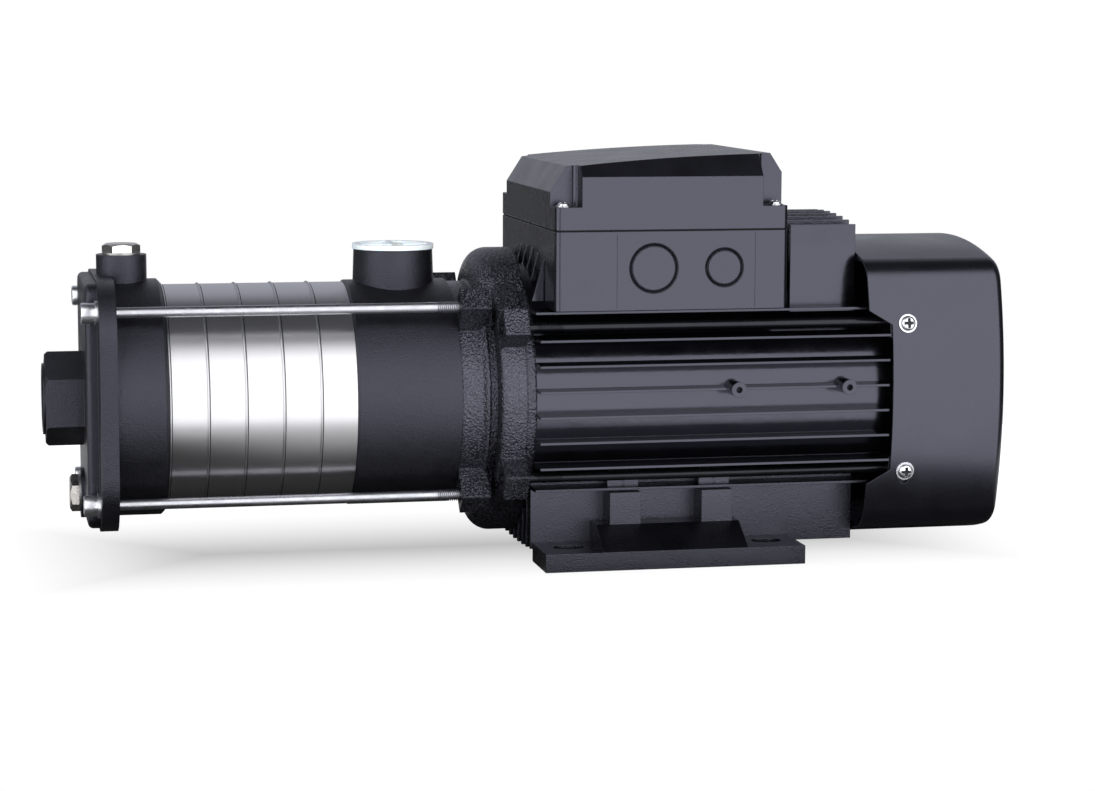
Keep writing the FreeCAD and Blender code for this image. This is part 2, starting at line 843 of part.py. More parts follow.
def make_stage_chambers():
    """Pressed sleeves: each has a web with the neck of the next impeller and return vanes before it."""
    inner = "sleeve_radius - sleeve_wall"
    for i in range(int(number("stage_count"))):
        name = f"stage_chamber_{i + 1}"
        if i == 0:
            points = [
                ("0", inner),
                ("0", "sleeve_radius"),
                ("stage_pitch + sleeve_entry", "sleeve_radius"),
                ("stage_pitch + sleeve_entry", inner),
                ("sleeve_entry + web_thickness", inner),
                ("sleeve_entry + web_thickness", "web_neck_radius"),
                ("sleeve_entry", "web_neck_radius"),
                ("sleeve_entry", inner),
            ]
            body = turned(name, points, f"{stages_front} - sleeve_entry")
        else:
            points = [
                ("0", "web_neck_radius"),
                ("0", "sleeve_radius"),
                ("stage_pitch", "sleeve_radius"),
                ("stage_pitch", inner),
                ("web_thickness", inner),
                ("web_thickness", "web_neck_radius"),
            ]
            body = turned(name, points, f"{stages_front} + {i} * stage_pitch")
            add_vanes(
                body, name, "return_vane_inner", "return_vane_outer",
                "return_vane_height + web_thickness / 2",
                "return_vane_count", "0 - return_vane_height", -1,
            )
        keep(name, body)


def make_impellers():
    """Open impellers whose hubs stand end to end and space the stages."""
    disc_back = "(impeller_setback + impeller_vane_height + impeller_disc)"
    disc_front = "(impeller_setback + impeller_vane_height)"
    bore = "(impeller_seat_radius + slip_gap)"
    for i in range(int(number("stage_count"))):
        name = f"impeller_{i + 1}"
        points = [
            ("0", bore),
            ("0", "impeller_hub_radius"),
            (disc_front, "impeller_hub_radius"),
            (disc_front, "impeller_radius"),
            (disc_back, "impeller_radius"),
            (disc_back, "impeller_hub_radius"),
            ("stage_pitch", "impeller_hub_radius"),
            ("stage_pitch", bore),
        ]
        body = turned(name, points, f"{stages_front} + {i} * stage_pitch")
        add_vanes(
            body, name, "impeller_vane_inner", "impeller_radius - impeller_vane_setback",
            "impeller_vane_height + impeller_disc / 2",
            "impeller_vane_count", "impeller_setback", 1,
        )
        keep(name, body)


def make_outlet_casing():
    inner = "(outlet_radius - outlet_wall)"
    spigot = "(sleeve_radius - sleeve_wall - seat_gap)"
    points = [
        ("0", inner),
        ("0", spigot),
        ("outlet_spigot", spigot),
        ("outlet_spigot", "outlet_radius - outlet_shoulder"),
        ("outlet_spigot + outlet_shoulder", "outlet_radius"),
        ("outlet_spigot + outlet_length", "outlet_radius"),
        ("outlet_spigot + outlet_length", inner),
    ]
    shell = turned("outlet_shell", points, f"{outlet_front} - outlet_spigot")
    boss_x = f"({outlet_front} + discharge_offset)"
    boss = cone(
        "discharge_boss", "discharge_root_radius", "discharge_rim_radius",
        "discharge_top - boss_root", x=boss_x, z="shaft_height + boss_root",
    )
    flow = cylinder(
        "outlet_flow", inner, "outlet_length + outlet_spigot + 2",
        x=f"{outlet_front} - outlet_spigot - 1", z="shaft_height", turn=along_x,
    )
    port = cylinder(
        "discharge_bore", "port_thread_radius", "discharge_top - boss_root",
        x=boss_x, z="shaft_height + boss_root + 1"
    )
    relief = cylinder(
        "discharge_relief", "discharge_relief_radius", "discharge_relief_depth + 1",
        x=boss_x, z="shaft_height + discharge_top - discharge_relief_depth",
    )
    keep("outlet_casing", less("outlet_casting", fused("outlet_solid", [shell, boss]), [flow, port, relief]))


def make_outlet_cap():
    x = f"({outlet_front} + discharge_offset)"
    top = "(shaft_height + discharge_top + face_gap)"
    plug_outer = "(discharge_relief_radius - slip_gap)"
    plug_length = "(cap_plug_depth + face_gap)"
    plate = cylinder("cap_plate", "cap_radius", "cap_thickness", x=x, z=top)
    skirt = cylinder("cap_skirt", plug_outer, f"{plug_length} + cap_overlap", x=x, z=f"{top} - {plug_length}")
    hollow = cylinder(
        "cap_hollow", f"{plug_outer} - cap_plug_wall", f"{plug_length} + 1",
        x=x, z=f"{top} - {plug_length} - 1"
    )
    rim = cylinder("cap_rim", "cap_radius", "cap_thickness + cap_rib_height", x=x, z=top)
    rim_eye = cylinder(
        "cap_rim_eye", "cap_radius - cap_rim_width", "cap_rib_height + 1", x=x, z=f"{top} + cap_thickness"
    )
    hub = cylinder("cap_hub", "cap_hub_radius", "cap_thickness + cap_rib_height", x=x, z=top)
    span = "(2 * cap_radius - cap_rim_width)"
    bars = [
        block(
            f"cap_bar_{word}", length, width, "cap_thickness + cap_rib_height",
            x=f"{x} - {length} / 2", y=f"0 - {width} / 2", z=top,
        )
        for word, length, width in (("along", span, "cap_rib_width"), ("across", "cap_rib_width", span))
    ]
    ring_part = less("cap_ring", rim, [rim_eye])
    shell = less("cap_shell", fused("cap_solid", [plate, skirt]), [hollow])
    keep("outlet_cap", fused("cap_moulding", [shell, ring_part, hub] + bars))


def hump(name, side):
    """The smooth rise of the motor flange above or below the shaft line."""
    points = [
        ("bracket_hump_start", "0"),
        ("bracket_hump_start", "bracket_hump_radius - bracket_hump_curve", "bracket_hump_curve"),
        ("bracket_hump_start + bracket_hump_curve", "bracket_hump_radius"),
        ("bracket_hump_end", "bracket_hump_radius"),
        ("bracket_hump_end", "0"),
    ]
    return turned(name, points, bracket_front, f"shaft_height + {side} * bracket_hump_rise")


def make_bracket():
    bearing_start = "(seal_pocket_depth + seal_wall + slinger_pocket_depth)"
    hub_end = f"({bearing_start} + bearing_width)"
    points = [
        ("0", "seal_pocket_radius"),
        ("0", "bracket_ring_radius"),
        ("bracket_ridge_start", "bracket_ring_radius"),
        ("bracket_ring_width - bracket_ridge_curve", "bracket_ridge_radius", "bracket_ridge_curve"),
        ("bracket_ring_width", "bracket_ridge_radius - bracket_ridge_curve"),
        ("bracket_ring_width", "bracket_groove_radius"),
        ("bracket_groove_end", "bracket_groove_radius"),
        ("bracket_groove_end", "bracket_band_radius - bracket_band_curve", "bracket_band_curve"),
        ("bracket_groove_end + bracket_band_curve", "bracket_band_radius"),
        ("bracket_band_end", "bracket_band_radius"),
        ("bracket_band_end", "bracket_recess_radius"),
        ("bracket_length", "bracket_recess_radius"),
        ("bracket_length", spigot_radius),
        ("bracket_length + housing_spigot", spigot_radius),
        ("bracket_length + housing_spigot", "bracket_inner_radius"),
        ("bracket_plate", "bracket_inner_radius"),
        ("bracket_plate", "bracket_hub_radius"),
        (hub_end, "bracket_hub_radius"),
        (hub_end, "bearing_outer_radius + slip_gap"),
        (bearing_start, "bearing_outer_radius + slip_gap"),
        (bearing_start, "slinger_pocket_radius"),
        ("seal_pocket_depth + seal_wall", "slinger_pocket_radius"),
        ("seal_pocket_depth + seal_wall", "seal_stationary_bore"),
        ("seal_pocket_depth", "seal_stationary_bore"),
        ("seal_pocket_depth", "seal_pocket_radius"),
    ]
    casting = turned("bracket_casting", points, bracket_front)
    lugs = [hump("bracket_hump_top", 1), hump("bracket_hump_bottom", -1)]
    for i in range(4):
        lugs.append(
            lug(
                f"rod_lug_{i}", f"(45 + 90 * {i})", "rod_lug_reach", "rod_lug_width", "rod_lug_length",
                bracket_front
            )
        )
    lug_angles = (stud_angle, f"(180 - {stud_angle})", f"(180 + {stud_angle})", f"(360 - {stud_angle})")
    for i, angle in enumerate(lug_angles):
        lugs.append(
            lug(
                f"stud_lug_{i}", angle, "stud_lug_reach", "stud_lug_width",
                "bracket_band_end - stud_lug_start", f"{bracket_front} + stud_lug_start",
            )
        )
    core = cylinder(
        "bracket_core", "lug_root", "bracket_length + 2",
        x=f"{bracket_front} - 1", z="shaft_height", turn=along_x
    )
    ears = less("bracket_ears", fused("bracket_lugs", lugs), [core])
    tools = []
    for i, (y, z) in enumerate(rod_places()):
        tools.append(
            cylinder(
                f"rod_tapping_{i}", "rod_thread_radius + slip_gap", "rod_lug_length + 1",
                f"{bracket_front} - 1", y, z, along_x,
            )
        )
    for i, (y, z) in enumerate(stud_places()):
        tools.append(
            cylinder(
                f"stud_tapping_{i}", "stud_hole_radius", "bracket_band_end - stud_lug_start + 2",
                f"{bracket_front} + stud_lug_start - 1", y, z, along_x,
            )
        )
    keep("motor_bracket", less("bracket_machined", fused("bracket_rough", [casting, ears]), tools))


def make_shaft_line():
    step_seal = f"({outlet_front} - {nut_front} + nut_thread_tail)"
    step_bearing = f"({front_bearing} - {shaft_start})"
    step_rotor = f"({front_bearing} + bearing_width + rotor_seat_setback - {shaft_start})"
    step_rear = f"({rear_bearing} - rotor_seat_setback - {shaft_start})"
    step_fan = f"({housing_back} + fan_seat_start - {shaft_start})"
    end = f"({fan_front} + fan_hub_length + shaft_end_reach - {shaft_start})"
    collar = f"({seal_spring_front} - {shaft_start})"
    points = [
        ("0", "0"),
        ("0", "nut_thread_radius"),
        ("nut_length + nut_thread_tail", "nut_thread_radius"),
        ("nut_length + nut_thread_tail", "impeller_seat_radius"),
        (step_seal, "impeller_seat_radius"),
        (step_seal, "seal_seat_radius"),
        (f"{collar} - seal_collar_width", "seal_seat_radius"),
        (f"{collar} - seal_collar_width", "seal_collar_radius"),
        (collar, "seal_collar_radius"),
        (collar, "seal_seat_radius"),
        (step_bearing, "seal_seat_radius"),
        (step_bearing, "bearing_bore_radius"),
        (step_rotor, "bearing_bore_radius"),
        (step_rotor, "rotor_seat_radius"),
        (step_rear, "rotor_seat_radius"),
        (step_rear, "bearing_bore_radius"),
        (step_fan, "bearing_bore_radius"),
        (step_fan, "fan_seat_radius"),
        (end, "fan_seat_radius"),
        (end, "0"),
    ]
    keep("shaft", turned("shaft_bar", points, shaft_start))
    nut = hexagon("nut_blank", "nut_hex_radius", "nut_length", x=nut_front, z="shaft_height", turn=along_x)
    nut_eye = cylinder(
        "nut_eye", "nut_thread_radius + slip_gap", "nut_length + 2",
        x=f"{nut_front} - 1", z="shaft_height", turn=along_x,
    )
    keep("impeller_nut", less("nut_machined", nut, [nut_eye]))


def ring(name, inner, outer, length, x):
    """A plain ring about the shaft line."""
    return turned(name, [("0", inner), ("0", outer), (length, outer), (length, inner)], x)


def make_seal():
    bore = "(seal_seat_radius + slip_gap)"
    keep(
        "seal_stationary_seat",
        ring(
            "seal_seat_ring", "seal_stationary_bore", "seal_stationary_radius",
            "seal_stationary_width", seal_seat_front,
        ),
    )
    keep(
        "seal_rotating_ring",
        ring("seal_head_ring", bore, "seal_ring_radius", "seal_ring_length", seal_ring_front)
    )
    keep(
        "seal_spring",
        ring(
            "seal_spring_coil", "(seal_spring_radius - seal_spring_wall)", "seal_spring_radius",
            "seal_spring_length", seal_spring_front,
        ),
    )
    keep(
        "slinger",
        ring(
            "slinger_ring", bore, "slinger_radius", "slinger_width",
            f"{bracket_front} + seal_pocket_depth + seal_wall + slinger_setback",
        ),
    )


def make_bearings():
    """Two equal deep-groove bearings, each an outer ring, an inner ring and a ball set between them."""
    outer = []
    inner = []
    balls = []
    for side, x in (("front", front_bearing), ("rear", rear_bearing)):
        outer.append(
            ring(f"{side}_outer_race", "bearing_outer_shoulder", "bearing_outer_radius", "bearing_width", x)
        )
        inner.append(
            ring(
                f"{side}_inner_race", "bearing_bore_radius + slip_gap", "bearing_inner_shoulder",
                "bearing_width", x,
            )
        )
        balls.append(
            ring(
                f"{side}_ball_set", "bearing_inner_shoulder + face_gap", "bearing_outer_shoulder - face_gap",
                "bearing_width / 2", f"{x} + bearing_width / 4",
            )
        )
    keep("bearing_outer_rings", group("outer_race_pair", outer))
    keep("bearing_inner_rings", group("inner_race_pair", inner))
    keep("bearing_ball_sets", group("ball_set_pair", balls))


def fin(name, root_y, tip_y, z, x, length, side):
    """A drafted cooling fin that runs along the housing on one side."""
    points = [
        (f"{side} * ({root_y})", f"{z} - fin_root_thickness / 2"),
        (f"{side} * ({tip_y})", f"{z} - fin_tip_thickness / 2"),
        (f"{side} * ({tip_y})", f"{z} + fin_tip_thickness / 2"),
        (f"{side} * ({root_y})", f"{z} + fin_root_thickness / 2"),
    ]
    return extruded(name, points, length, "YZ_Plane", x=x, z="shaft_height")


def foot_places():
    """Names and places of the four screws that hold the feet: side, word and X of each."""
    return [
        (side, f"{word}_{label}", x)
        for side, word in ((-1, "near"), (1, "far"))
        for label, x in (("front", "foot_post_front"), ("back", "foot_post_back"))
    ]


def make_housing():
    barrel = cylinder(
        "barrel", "barrel_radius", "housing_length", x=housing_front, z="shaft_height", turn=along_x
    )
    parts = [barrel]
    for side, word in ((-1, "near"), (1, "far")):
        for i in range(int(number("side_fin_count"))):
            height = f"(({i} - (side_fin_count - 1) / 2) * fin_pitch)"
            parts.append(
                fin(f"{word}_fin_{i}", "fin_root", "fin_tip", height, housing_front, "housing_length", side)
            )
        for level in (-1, 1):
            name = f"{word}_ledge_{'top' if level > 0 else 'bottom'}"
            height = f"({level} * {ledge_level})"
            parts.append(
                fin(
                    name, "ledge_root", "ledge_tip", height, housing_front,
                    "housing_length - ledge_trim", side
                )
            )
    rib_rear = f"({housing_back} - rib_rear_trim)"
    rib_front = "(box_half_length + rib_box_gap)"
    for i in range(int(number("rib_count"))):
        y = f"(({i} - (rib_count - 1) / 2) * rib_pitch)"
        share = f"(({y}) ^ 2 / ((rib_count - 1) / 2 * rib_pitch) ^ 2)"
        crest = f"(rib_crest - rib_fall * {share})"
        keel = f"(0 - rib_keel + rib_keel_fall * {share})"
        for word, start, root, edge in (
            ("rear", rib_front, "ledge_root", crest),
            ("keel", housing_front, "(0 - ledge_root)", keel),
        ):
            points = [(start, root), (rib_rear, root), (rib_rear, edge), (start, edge)]
            parts.append(
                extruded(
                    f"{word}_rib_{i}", points, "rib_thickness", "XZ_Plane", y=y, z="shaft_height",
                    midplane=True
                )
            )
    box_front = "(0 - box_half_length - face_gap)"
    for i in range(int(number("tooth_count"))):
        y = f"(({i} - (tooth_count - 1) / 2) * tooth_pitch)"
        share = f"(({y}) ^ 2 / ((tooth_count - 1) / 2 * tooth_pitch) ^ 2)"
        points = [
            (housing_front, "ledge_root"),
            (housing_front, "tooth_foot"),
            (box_front, f"tooth_crest - tooth_fall * {share}"),
            (box_front, "ledge_root"),
        ]
        parts.append(
            extruded(
                f"front_tooth_{i}", points, "tooth_thickness", "XZ_Plane", y=y, z="shaft_height",
                midplane=True
            )
        )
    plate_height = "shaft_height + plate_boss_height"
    for i, x in enumerate(("plate_boss_first", "plate_boss_second")):
        parts.append(
            cylinder(
                f"plate_boss_{i}", "plate_boss_radius", "plate_boss_reach - barrel_radius + wall_overlap",
                x=x, y="wall_overlap - barrel_radius", z=plate_height, turn=along_minus_y,
            )
        )
    for side, name, x in foot_places():
        parts.append(
            block(
                f"foot_boss_{name}", "foot_post_width", "foot_boss_width", "foot_boss_height",
                x=f"{x} - foot_post_width / 2",
                y=f"{side} * (foot_screw_y - foot_boss_inset) - foot_boss_width / 2", z=ledge_bottom,
            )
        )
    tools = [
        cylinder(
            "housing_bore", "stator_bore", "housing_length + 2",
            x=f"{housing_front} - 1", z="shaft_height", turn=along_x,
        ),
        cylinder(
            "shield_seat", "shield_radius + face_gap", "shield_inset + 1",
            x=f"{housing_back} - shield_inset", z="shaft_height", turn=along_x,
        ),
    ]
    for i, x in enumerate(("plate_boss_first", "plate_boss_second")):
        tools.append(
            cylinder(
                f"plate_hole_{i}", "plate_boss_hole", "plate_boss_hole_depth + 1",
                x=x, y="plate_boss_hole_depth - plate_boss_reach", z=plate_height, turn=along_minus_y,
            )
        )
    for side, name, x in foot_places():
        tools.append(
            cylinder(
                f"foot_tapping_{name}", "foot_screw_radius + slip_gap", "foot_screw_grip + 2",
                x=x, y=f"{side} * foot_screw_y", z=f"{ledge_bottom} - 1",
            )
        )
    keep("motor_housing", less("housing_machined", fused("housing_casting", parts), tools))


def make_through_bolts():
    bolts = []
    front = f"({bracket_front} + stud_lug_start - 1)"
    back = f"({housing_back} + shield_arm_length + stud_nut_height)"
    for i, (y, z) in enumerate(stud_places()):
        rod = cylinder(f"stud_rod_{i}", "stud_radius", f"{back} - {front}", front, y, z, along_x)
        head = hexagon(
            f"stud_head_{i}", "stud_nut_radius", "stud_nut_height",
            f"{housing_back} + shield_arm_length", y, z, along_x,
        )
        bolts.append(fused(f"stud_{i}", [rod, head]))
    keep("through_bolts", group("through_bolt_set", bolts))


def make_motor_parts():
    stator_front = f"({housing_front} + (housing_length - stator_length) / 2)"
    stator_back = f"({stator_front} + stator_length)"
    keep(
        "stator_core",
        ring("stator_stack", "stator_inner_radius", "stator_bore - seat_gap", "stator_length", stator_front),
    )
    coils = [
        ring("winding_front", "winding_inner_radius", "winding_outer_radius", "winding_length",
             f"{stator_front} - winding_length"),
        ring("winding_rear", "winding_inner_radius", "winding_outer_radius", "winding_length", stator_back),
    ]
    keep("stator_windings", group("winding_pair", coils))
    bore = "(rotor_seat_radius + slip_gap)"
    ring_end = "(rotor_ring_length + stator_length)"
    points = [
        ("0", bore),
        ("0", "rotor_ring_radius"),
        ("rotor_ring_length", "rotor_ring_radius"),
        ("rotor_ring_length", "rotor_radius"),
        (ring_end, "rotor_radius"),
        (ring_end, "rotor_ring_radius"),
        (f"{ring_end} + rotor_ring_length", "rotor_ring_radius"),
        (f"{ring_end} + rotor_ring_length", bore),
    ]
    keep("rotor_core", turned("rotor_stack", points, f"{stator_front} - rotor_ring_length"))


def crowned_block(name, inset, length, x):
    """The fan cover's section, shrunk by an inset and raised along the shaft."""
    body = new_body(name, x, "0", "shaft_height")
    sketch = sketch_on(body, "YZ_Plane", name + "_outline")
    crowned_outline(
        sketch, f"(cover_half - {inset})", f"(cover_crown - {inset})", f"(cover_corner - {inset})"
    )
    pad(body, sketch, length, name + "_raised")
    return body


def on_cover(thing, a, b, depth):
    """Stand a cylinder on the cover's bowed side at one screw, its foot a depth beyond the sheet."""
    return tilted(
        thing, "cover_screw_x",
        f"{a} * (cover_half - {crown_fall} + ({depth}) * cos({crown_angle}))",
        f"shaft_height + {b} * (cover_screw_z + ({depth}) * sin({crown_angle}))",
        f"{180 + 90 * a} + {a * b} * {crown_angle}",
    )


def make_rear_shield():
    hub_start = "(0 - bearing_width)"
    seat = "(0 - shield_inset)"
    inner = f"({spigot_radius} - spigot_wall)"
    points = [
        ("shield_thickness", "fan_seat_radius + shield_bore_gap"),
        ("0", "fan_seat_radius + shield_bore_gap"),
        ("0", "bearing_outer_radius + slip_gap"),
        (hub_start, "bearing_outer_radius + slip_gap"),
        (hub_start, "shield_hub_radius"),
        ("0", "shield_hub_radius"),
        ("0", inner),
        (f"{seat} - housing_spigot", inner),
        (f"{seat} - housing_spigot", spigot_radius),
        (seat, spigot_radius),
        (seat, "shield_radius"),
        ("shield_thickness", "shield_radius"),
    ]
    disc = turned("shield_disc", points, housing_back)
    arms = []
    for i, (a, b) in enumerate(quarters):
        arms.append(
            block(
                f"shield_arm_{i}", "shield_arm_length", "cover_half - shield_arm_root", "shield_arm_width",
                x=housing_back, y="0 - cover_half" if a < 0 else "shield_arm_root",
                z=f"shaft_height + {b} * cover_screw_z - shield_arm_width / 2",
            )
        )
    limit = crowned_block("shield_arm_limit", "(cover_wall + face_gap)", "shield_arm_length", housing_back)
    trimmed = shared("shield_arms", [fused("shield_arm_set", arms), limit])
    tools = []
    for i, (y, z) in enumerate(stud_places()):
        tools.append(
            cylinder(
                f"shield_stud_{i}", "stud_hole_radius", "shield_arm_length + 2", f"{housing_back} - 1",
                y, z, along_x
            )
        )
    for i, (a, b) in enumerate(quarters):
        tapping = cylinder(f"shield_tapping_{i}", "cover_screw_radius + slip_gap", "cover_screw_length + 1")
        tools.append(on_cover(tapping, a, b, "0 - cover_screw_length"))
    keep("rear_end_shield", less("shield_machined", fused("shield_casting", [disc, trimmed]), tools))


def make_fan():
    bore = "(fan_seat_radius + slip_gap)"
    root = "(fan_hub_radius - fan_hub_overlap)"
    hub = ring("fan_hub", bore, "fan_hub_radius", "fan_hub_length", fan_front)
    plate = ring("fan_plate", root, "fan_disc_radius", "fan_disc_thickness", fan_front)
    blades = []
    for i in range(int(number("fan_blade_count"))):
        angle = f"(360 / fan_blade_count * {i})"
        blades.append(
            lug(f"fan_blade_{i}", angle, "fan_radius", "fan_blade_thickness", "fan_hub_length", fan_front)
        )
    eye = cylinder(
        "fan_eye", root, "fan_hub_length + 2", x=f"{fan_front} - 1", z="shaft_height", turn=along_x
    )
    keep(
        "cooling_fan",
        fused("fan_moulding", [hub, plate, less("fan_blades", fused("fan_blade_set", blades), [eye])])
    )
    keep(
        "fan_clip",
        ring("fan_clip_ring", bore, "fan_clip_radius", "fan_clip_width", f"{fan_front} + fan_hub_length"),
    )


def cover_block(name, inset):
    """The cover's outer or inner form: a bowed square tube with a rounded rear edge."""
    body = crowned_block(name, inset, f"cover_back - cover_front - {inset}", "cover_front")
    return round_edge(body, name + "_edge", 1, f"cover_edge_radius - {inset}")


def make_fan_cover():
    outer = cover_block("cover_outer", "0")
    inner = cover_block("cover_inner", "cover_wall")
    tools = [inner]
    notch_points = [
        ("cover_front - 1", "0 - cover_notch_half - cover_notch_slope"),
        ("cover_front", "0 - cover_notch_half - cover_notch_slope"),
        ("cover_notch_front", "0 - cover_notch_half"),
        ("cover_notch_front", "cover_notch_half"),
        ("cover_front", "cover_notch_half + cover_notch_slope"),
        ("cover_front - 1", "cover_notch_half + cover_notch_slope"),
    ]
    tools.append(
        extruded(
            "cover_notch", notch_points, "2 * cover_half + 2", "XZ_Plane", z="shaft_height", midplane=True
        )
    )
    for i in range(int(number("vent_slot_count"))):
        z = f"(({i} - (vent_slot_count - 1) / 2) * vent_slot_pitch)"
        half = f"sqrt(vent_field_radius ^ 2 - {z} ^ 2)"
        tools.append(
            block(
                f"vent_slot_{i}", "cover_wall + 2", f"2 * {half}", "vent_slot_width",
                x="cover_back - cover_wall - 1", y=f"0 - {half}",
                z=f"shaft_height + {z} - vent_slot_width / 2",
            )
        )
    hole = "(cover_screw_radius + cover_hole_clearance)"
    high = "shaft_height + cover_screw_z"
    low = "shaft_height - cover_screw_z"
    for word, z in (("top", high), ("bottom", low), ("slot", f"{low} - cover_slot_drop")):
        tools.append(
            cylinder(
                f"cover_hole_{word}", hole, "2 * cover_half + 2",
                x="cover_screw_x", y="0 - cover_half - 1", z=z, turn=along_y,
            )
        )
    tools.append(
        block(
            "cover_slot", f"2 * {hole}", "2 * cover_half + 2", "cover_slot_drop",
            x=f"cover_screw_x - {hole}", y="0 - cover_half - 1", z=f"{low} - cover_slot_drop",
        )
    )
    keep("fan_cover", less("cover_sheet", outer, tools))


def make_cover_screws():
    screws = []
    washers = []
    for i, (a, b) in enumerate(quarters):
        disc = cylinder(f"cover_disc_{i}", "cover_washer_radius", "cover_washer_thickness")
        eye = cylinder(f"cover_eye_{i}", "cover_screw_radius + hole_clearance", "cover_washer_thickness + 2")
        washers.append(less(f"cover_washer_{i}", on_cover(disc, a, b, "0"), [on_cover(eye, a, b, "0 - 1")]))
        head = cylinder(f"cover_head_{i}", "cover_screw_head_radius", "cover_screw_head_height")
        shank = cylinder(
            f"cover_shank_{i}", "cover_screw_radius", "cover_screw_length + cover_washer_thickness"
        )
        screws.append(
            fused(
                f"cover_screw_{i}",
                [
                    on_cover(head, a, b, "cover_washer_thickness"),
                    on_cover(shank, a, b, "0 - cover_screw_length"),
                ],
            )
        )
    keep("fan_cover_screws", group("cover_screw_set", screws))
    keep("fan_cover_washers", group("cover_washer_set", washers))


def make_feet():
    screws = []
    for side, word in ((-1, "near"), (1, "far")):
        y_low = "0 - foot_outer" if side < 0 else "foot_inner"
        plate = block(
            f"{word}_foot_plate", "foot_length", "foot_outer - foot_inner", "foot_plate",
            x="0 - foot_length / 2", y=y_low,
        )
        ramp = extruded(
            f"{word}_foot_block",
            [
                (f"{side} * foot_inner", "foot_plate - 1"),
                (f"{side} * foot_outer", "foot_plate - 1"),
                (f"{side} * foot_outer", "foot_plate"),
                (f"{side} * foot_block_shoulder", "foot_block_top"),
                (f"{side} * foot_inner", "foot_block_top"),
            ],
            "foot_block_length", "YZ_Plane", x="0 - foot_block_length / 2",
        )
        parts = [plate, ramp]
        tools = []
        for label, x in (("front", "foot_post_front"), ("back", "foot_post_back")):
            post_y = "0 - foot_block_shoulder" if side < 0 else "foot_inner"
            parts.append(
                block(
                    f"{word}_post_{label}", "foot_post_width", "foot_block_shoulder - foot_inner",
                    f"{ledge_bottom} - foot_block_top + 1",
                    x=f"{x} - foot_post_width / 2", y=post_y, z="foot_block_top - 1",
                )
            )
            screw_y = f"{side} * foot_screw_y"
            tools.append(
                cylinder(
                    f"{word}_recess_{label}", "foot_screw_head_radius + foot_screw_clearance",
                    "foot_screw_recess + foot_screw_head_height + 1", x=x, y=screw_y, z="0 - 1",
                )
            )
            tools.append(
                cylinder(
                    f"{word}_shaft_{label}", "foot_screw_radius + hole_clearance", ledge_bottom,
                    x=x, y=screw_y, z="1"
                )
            )
            head = cylinder(
                f"{word}_head_{label}", "foot_screw_head_radius", "foot_screw_head_height",
                x=x, y=screw_y, z="foot_screw_recess",
            )
            shank = cylinder(
                f"{word}_shank_{label}", "foot_screw_radius",
                f"{ledge_bottom} + foot_screw_grip - foot_screw_recess - foot_screw_head_height",
                x=x, y=screw_y, z="foot_screw_recess + foot_screw_head_height",
            )
            screws.append(fused(f"{word}_screw_{label}", [head, shank]))
        for end in (-1, 1):
            x = f"({end} * foot_slot_spacing / 2)"
            y = f"({side} * foot_slot_gauge / 2)"
            run = "(foot_slot_length - 2 * foot_slot_radius)"
            label = f"{word}_{'front' if end < 0 else 'back'}"
            tools.append(
                block(
                    f"{label}_slot", run, "2 * foot_slot_radius", "foot_plate + 2",
                    x=f"{x} - {run} / 2", y=f"{y} - foot_slot_radius", z="0 - 1",
                )
            )
            for tip in (-1, 1):
                tools.append(
                    cylinder(
                        f"{label}_slot_end_{'a' if tip < 0 else 'b'}", "foot_slot_radius", "foot_plate + 2",
                        x=f"{x} + {tip} * {run} / 2", y=y, z="0 - 1",
                    )
                )
        keep(f"foot_{word}", less(f"{word}_foot_machined", fused(f"{word}_foot_casting", parts), tools))
    keep("foot_screws", group("foot_screw_set", screws))


def box_block(name, inset, bottom, top):
    """The terminal box's outer or inner form between two heights."""
    return round_block(
        name, f"(box_half_length - {inset})", f"(box_half_width - {inset})", "box_corner",
        f"{top} - {bottom}", "XY_Plane", z=f"shaft_height + {bottom}",
    )


def make_terminal_base():
    outer = box_block("base_outer", "0", "box_bottom", "box_joint")
    saddle = cylinder(
        "base_saddle", "barrel_radius + seat_gap", "2 * box_half_length + 2",
        x="0 - box_half_length - 1", z="shaft_height", turn=along_x,
    )
    hollow = less(
        "base_hollow",
        box_block("base_inner", "box_wall", "box_bottom + box_wall", "box_joint + 1"),
        [
            cylinder(
                "base_floor", "barrel_radius + seat_gap + box_wall", "2 * box_half_length",
                x="0 - box_half_length", z="shaft_height", turn=along_x,
            )
        ],
    )
    shell = less("base_shell", outer, [saddle, hollow])
    posts = [
        cylinder(
            f"base_post_{i}", "lid_post_radius", "box_joint - box_bottom",
            x=f"{a} * lid_screw_x", y=f"{b} * lid_screw_y", z="shaft_height + box_bottom",
        )
        for i, (a, b) in enumerate(quarters)
    ]
    post_limit = box_block("base_post_limit", "box_wall / 2", "box_bottom", "box_joint")
    tools = [
        cylinder(
            f"base_tapping_{i}", "lid_screw_radius + slip_gap", "lid_screw_reach",
            x=f"{a} * lid_screw_x", y=f"{b} * lid_screw_y",
            z="shaft_height + pocket_floor - lid_screw_reach - 1",
        )
        for i, (a, b) in enumerate(quarters)
    ]
    for word in ("large", "small"):
        x = f"knockout_{word}_x"
        radius = f"knockout_{word}"
        groove = cylinder(
            f"knockout_{word}_groove", radius, "knockout_depth + 1",
            x=x, y="0 - box_half_width + knockout_depth", z="shaft_height + knockout_height",
            turn=along_minus_y,
        )
        disc = cylinder(
            f"knockout_{word}_disc", f"{radius} - knockout_groove", "knockout_depth + 3",
            x=x, y="1 - box_half_width + knockout_depth", z="shaft_height + knockout_height",
            turn=along_minus_y,
        )
        tools.append(less(f"knockout_{word}", groove, [disc]))
    solid = fused("base_moulding", [shell, shared("base_posts", [fused("base_post_set", posts), post_limit])])
    keep("terminal_box_base", less("base_machined", solid, tools))


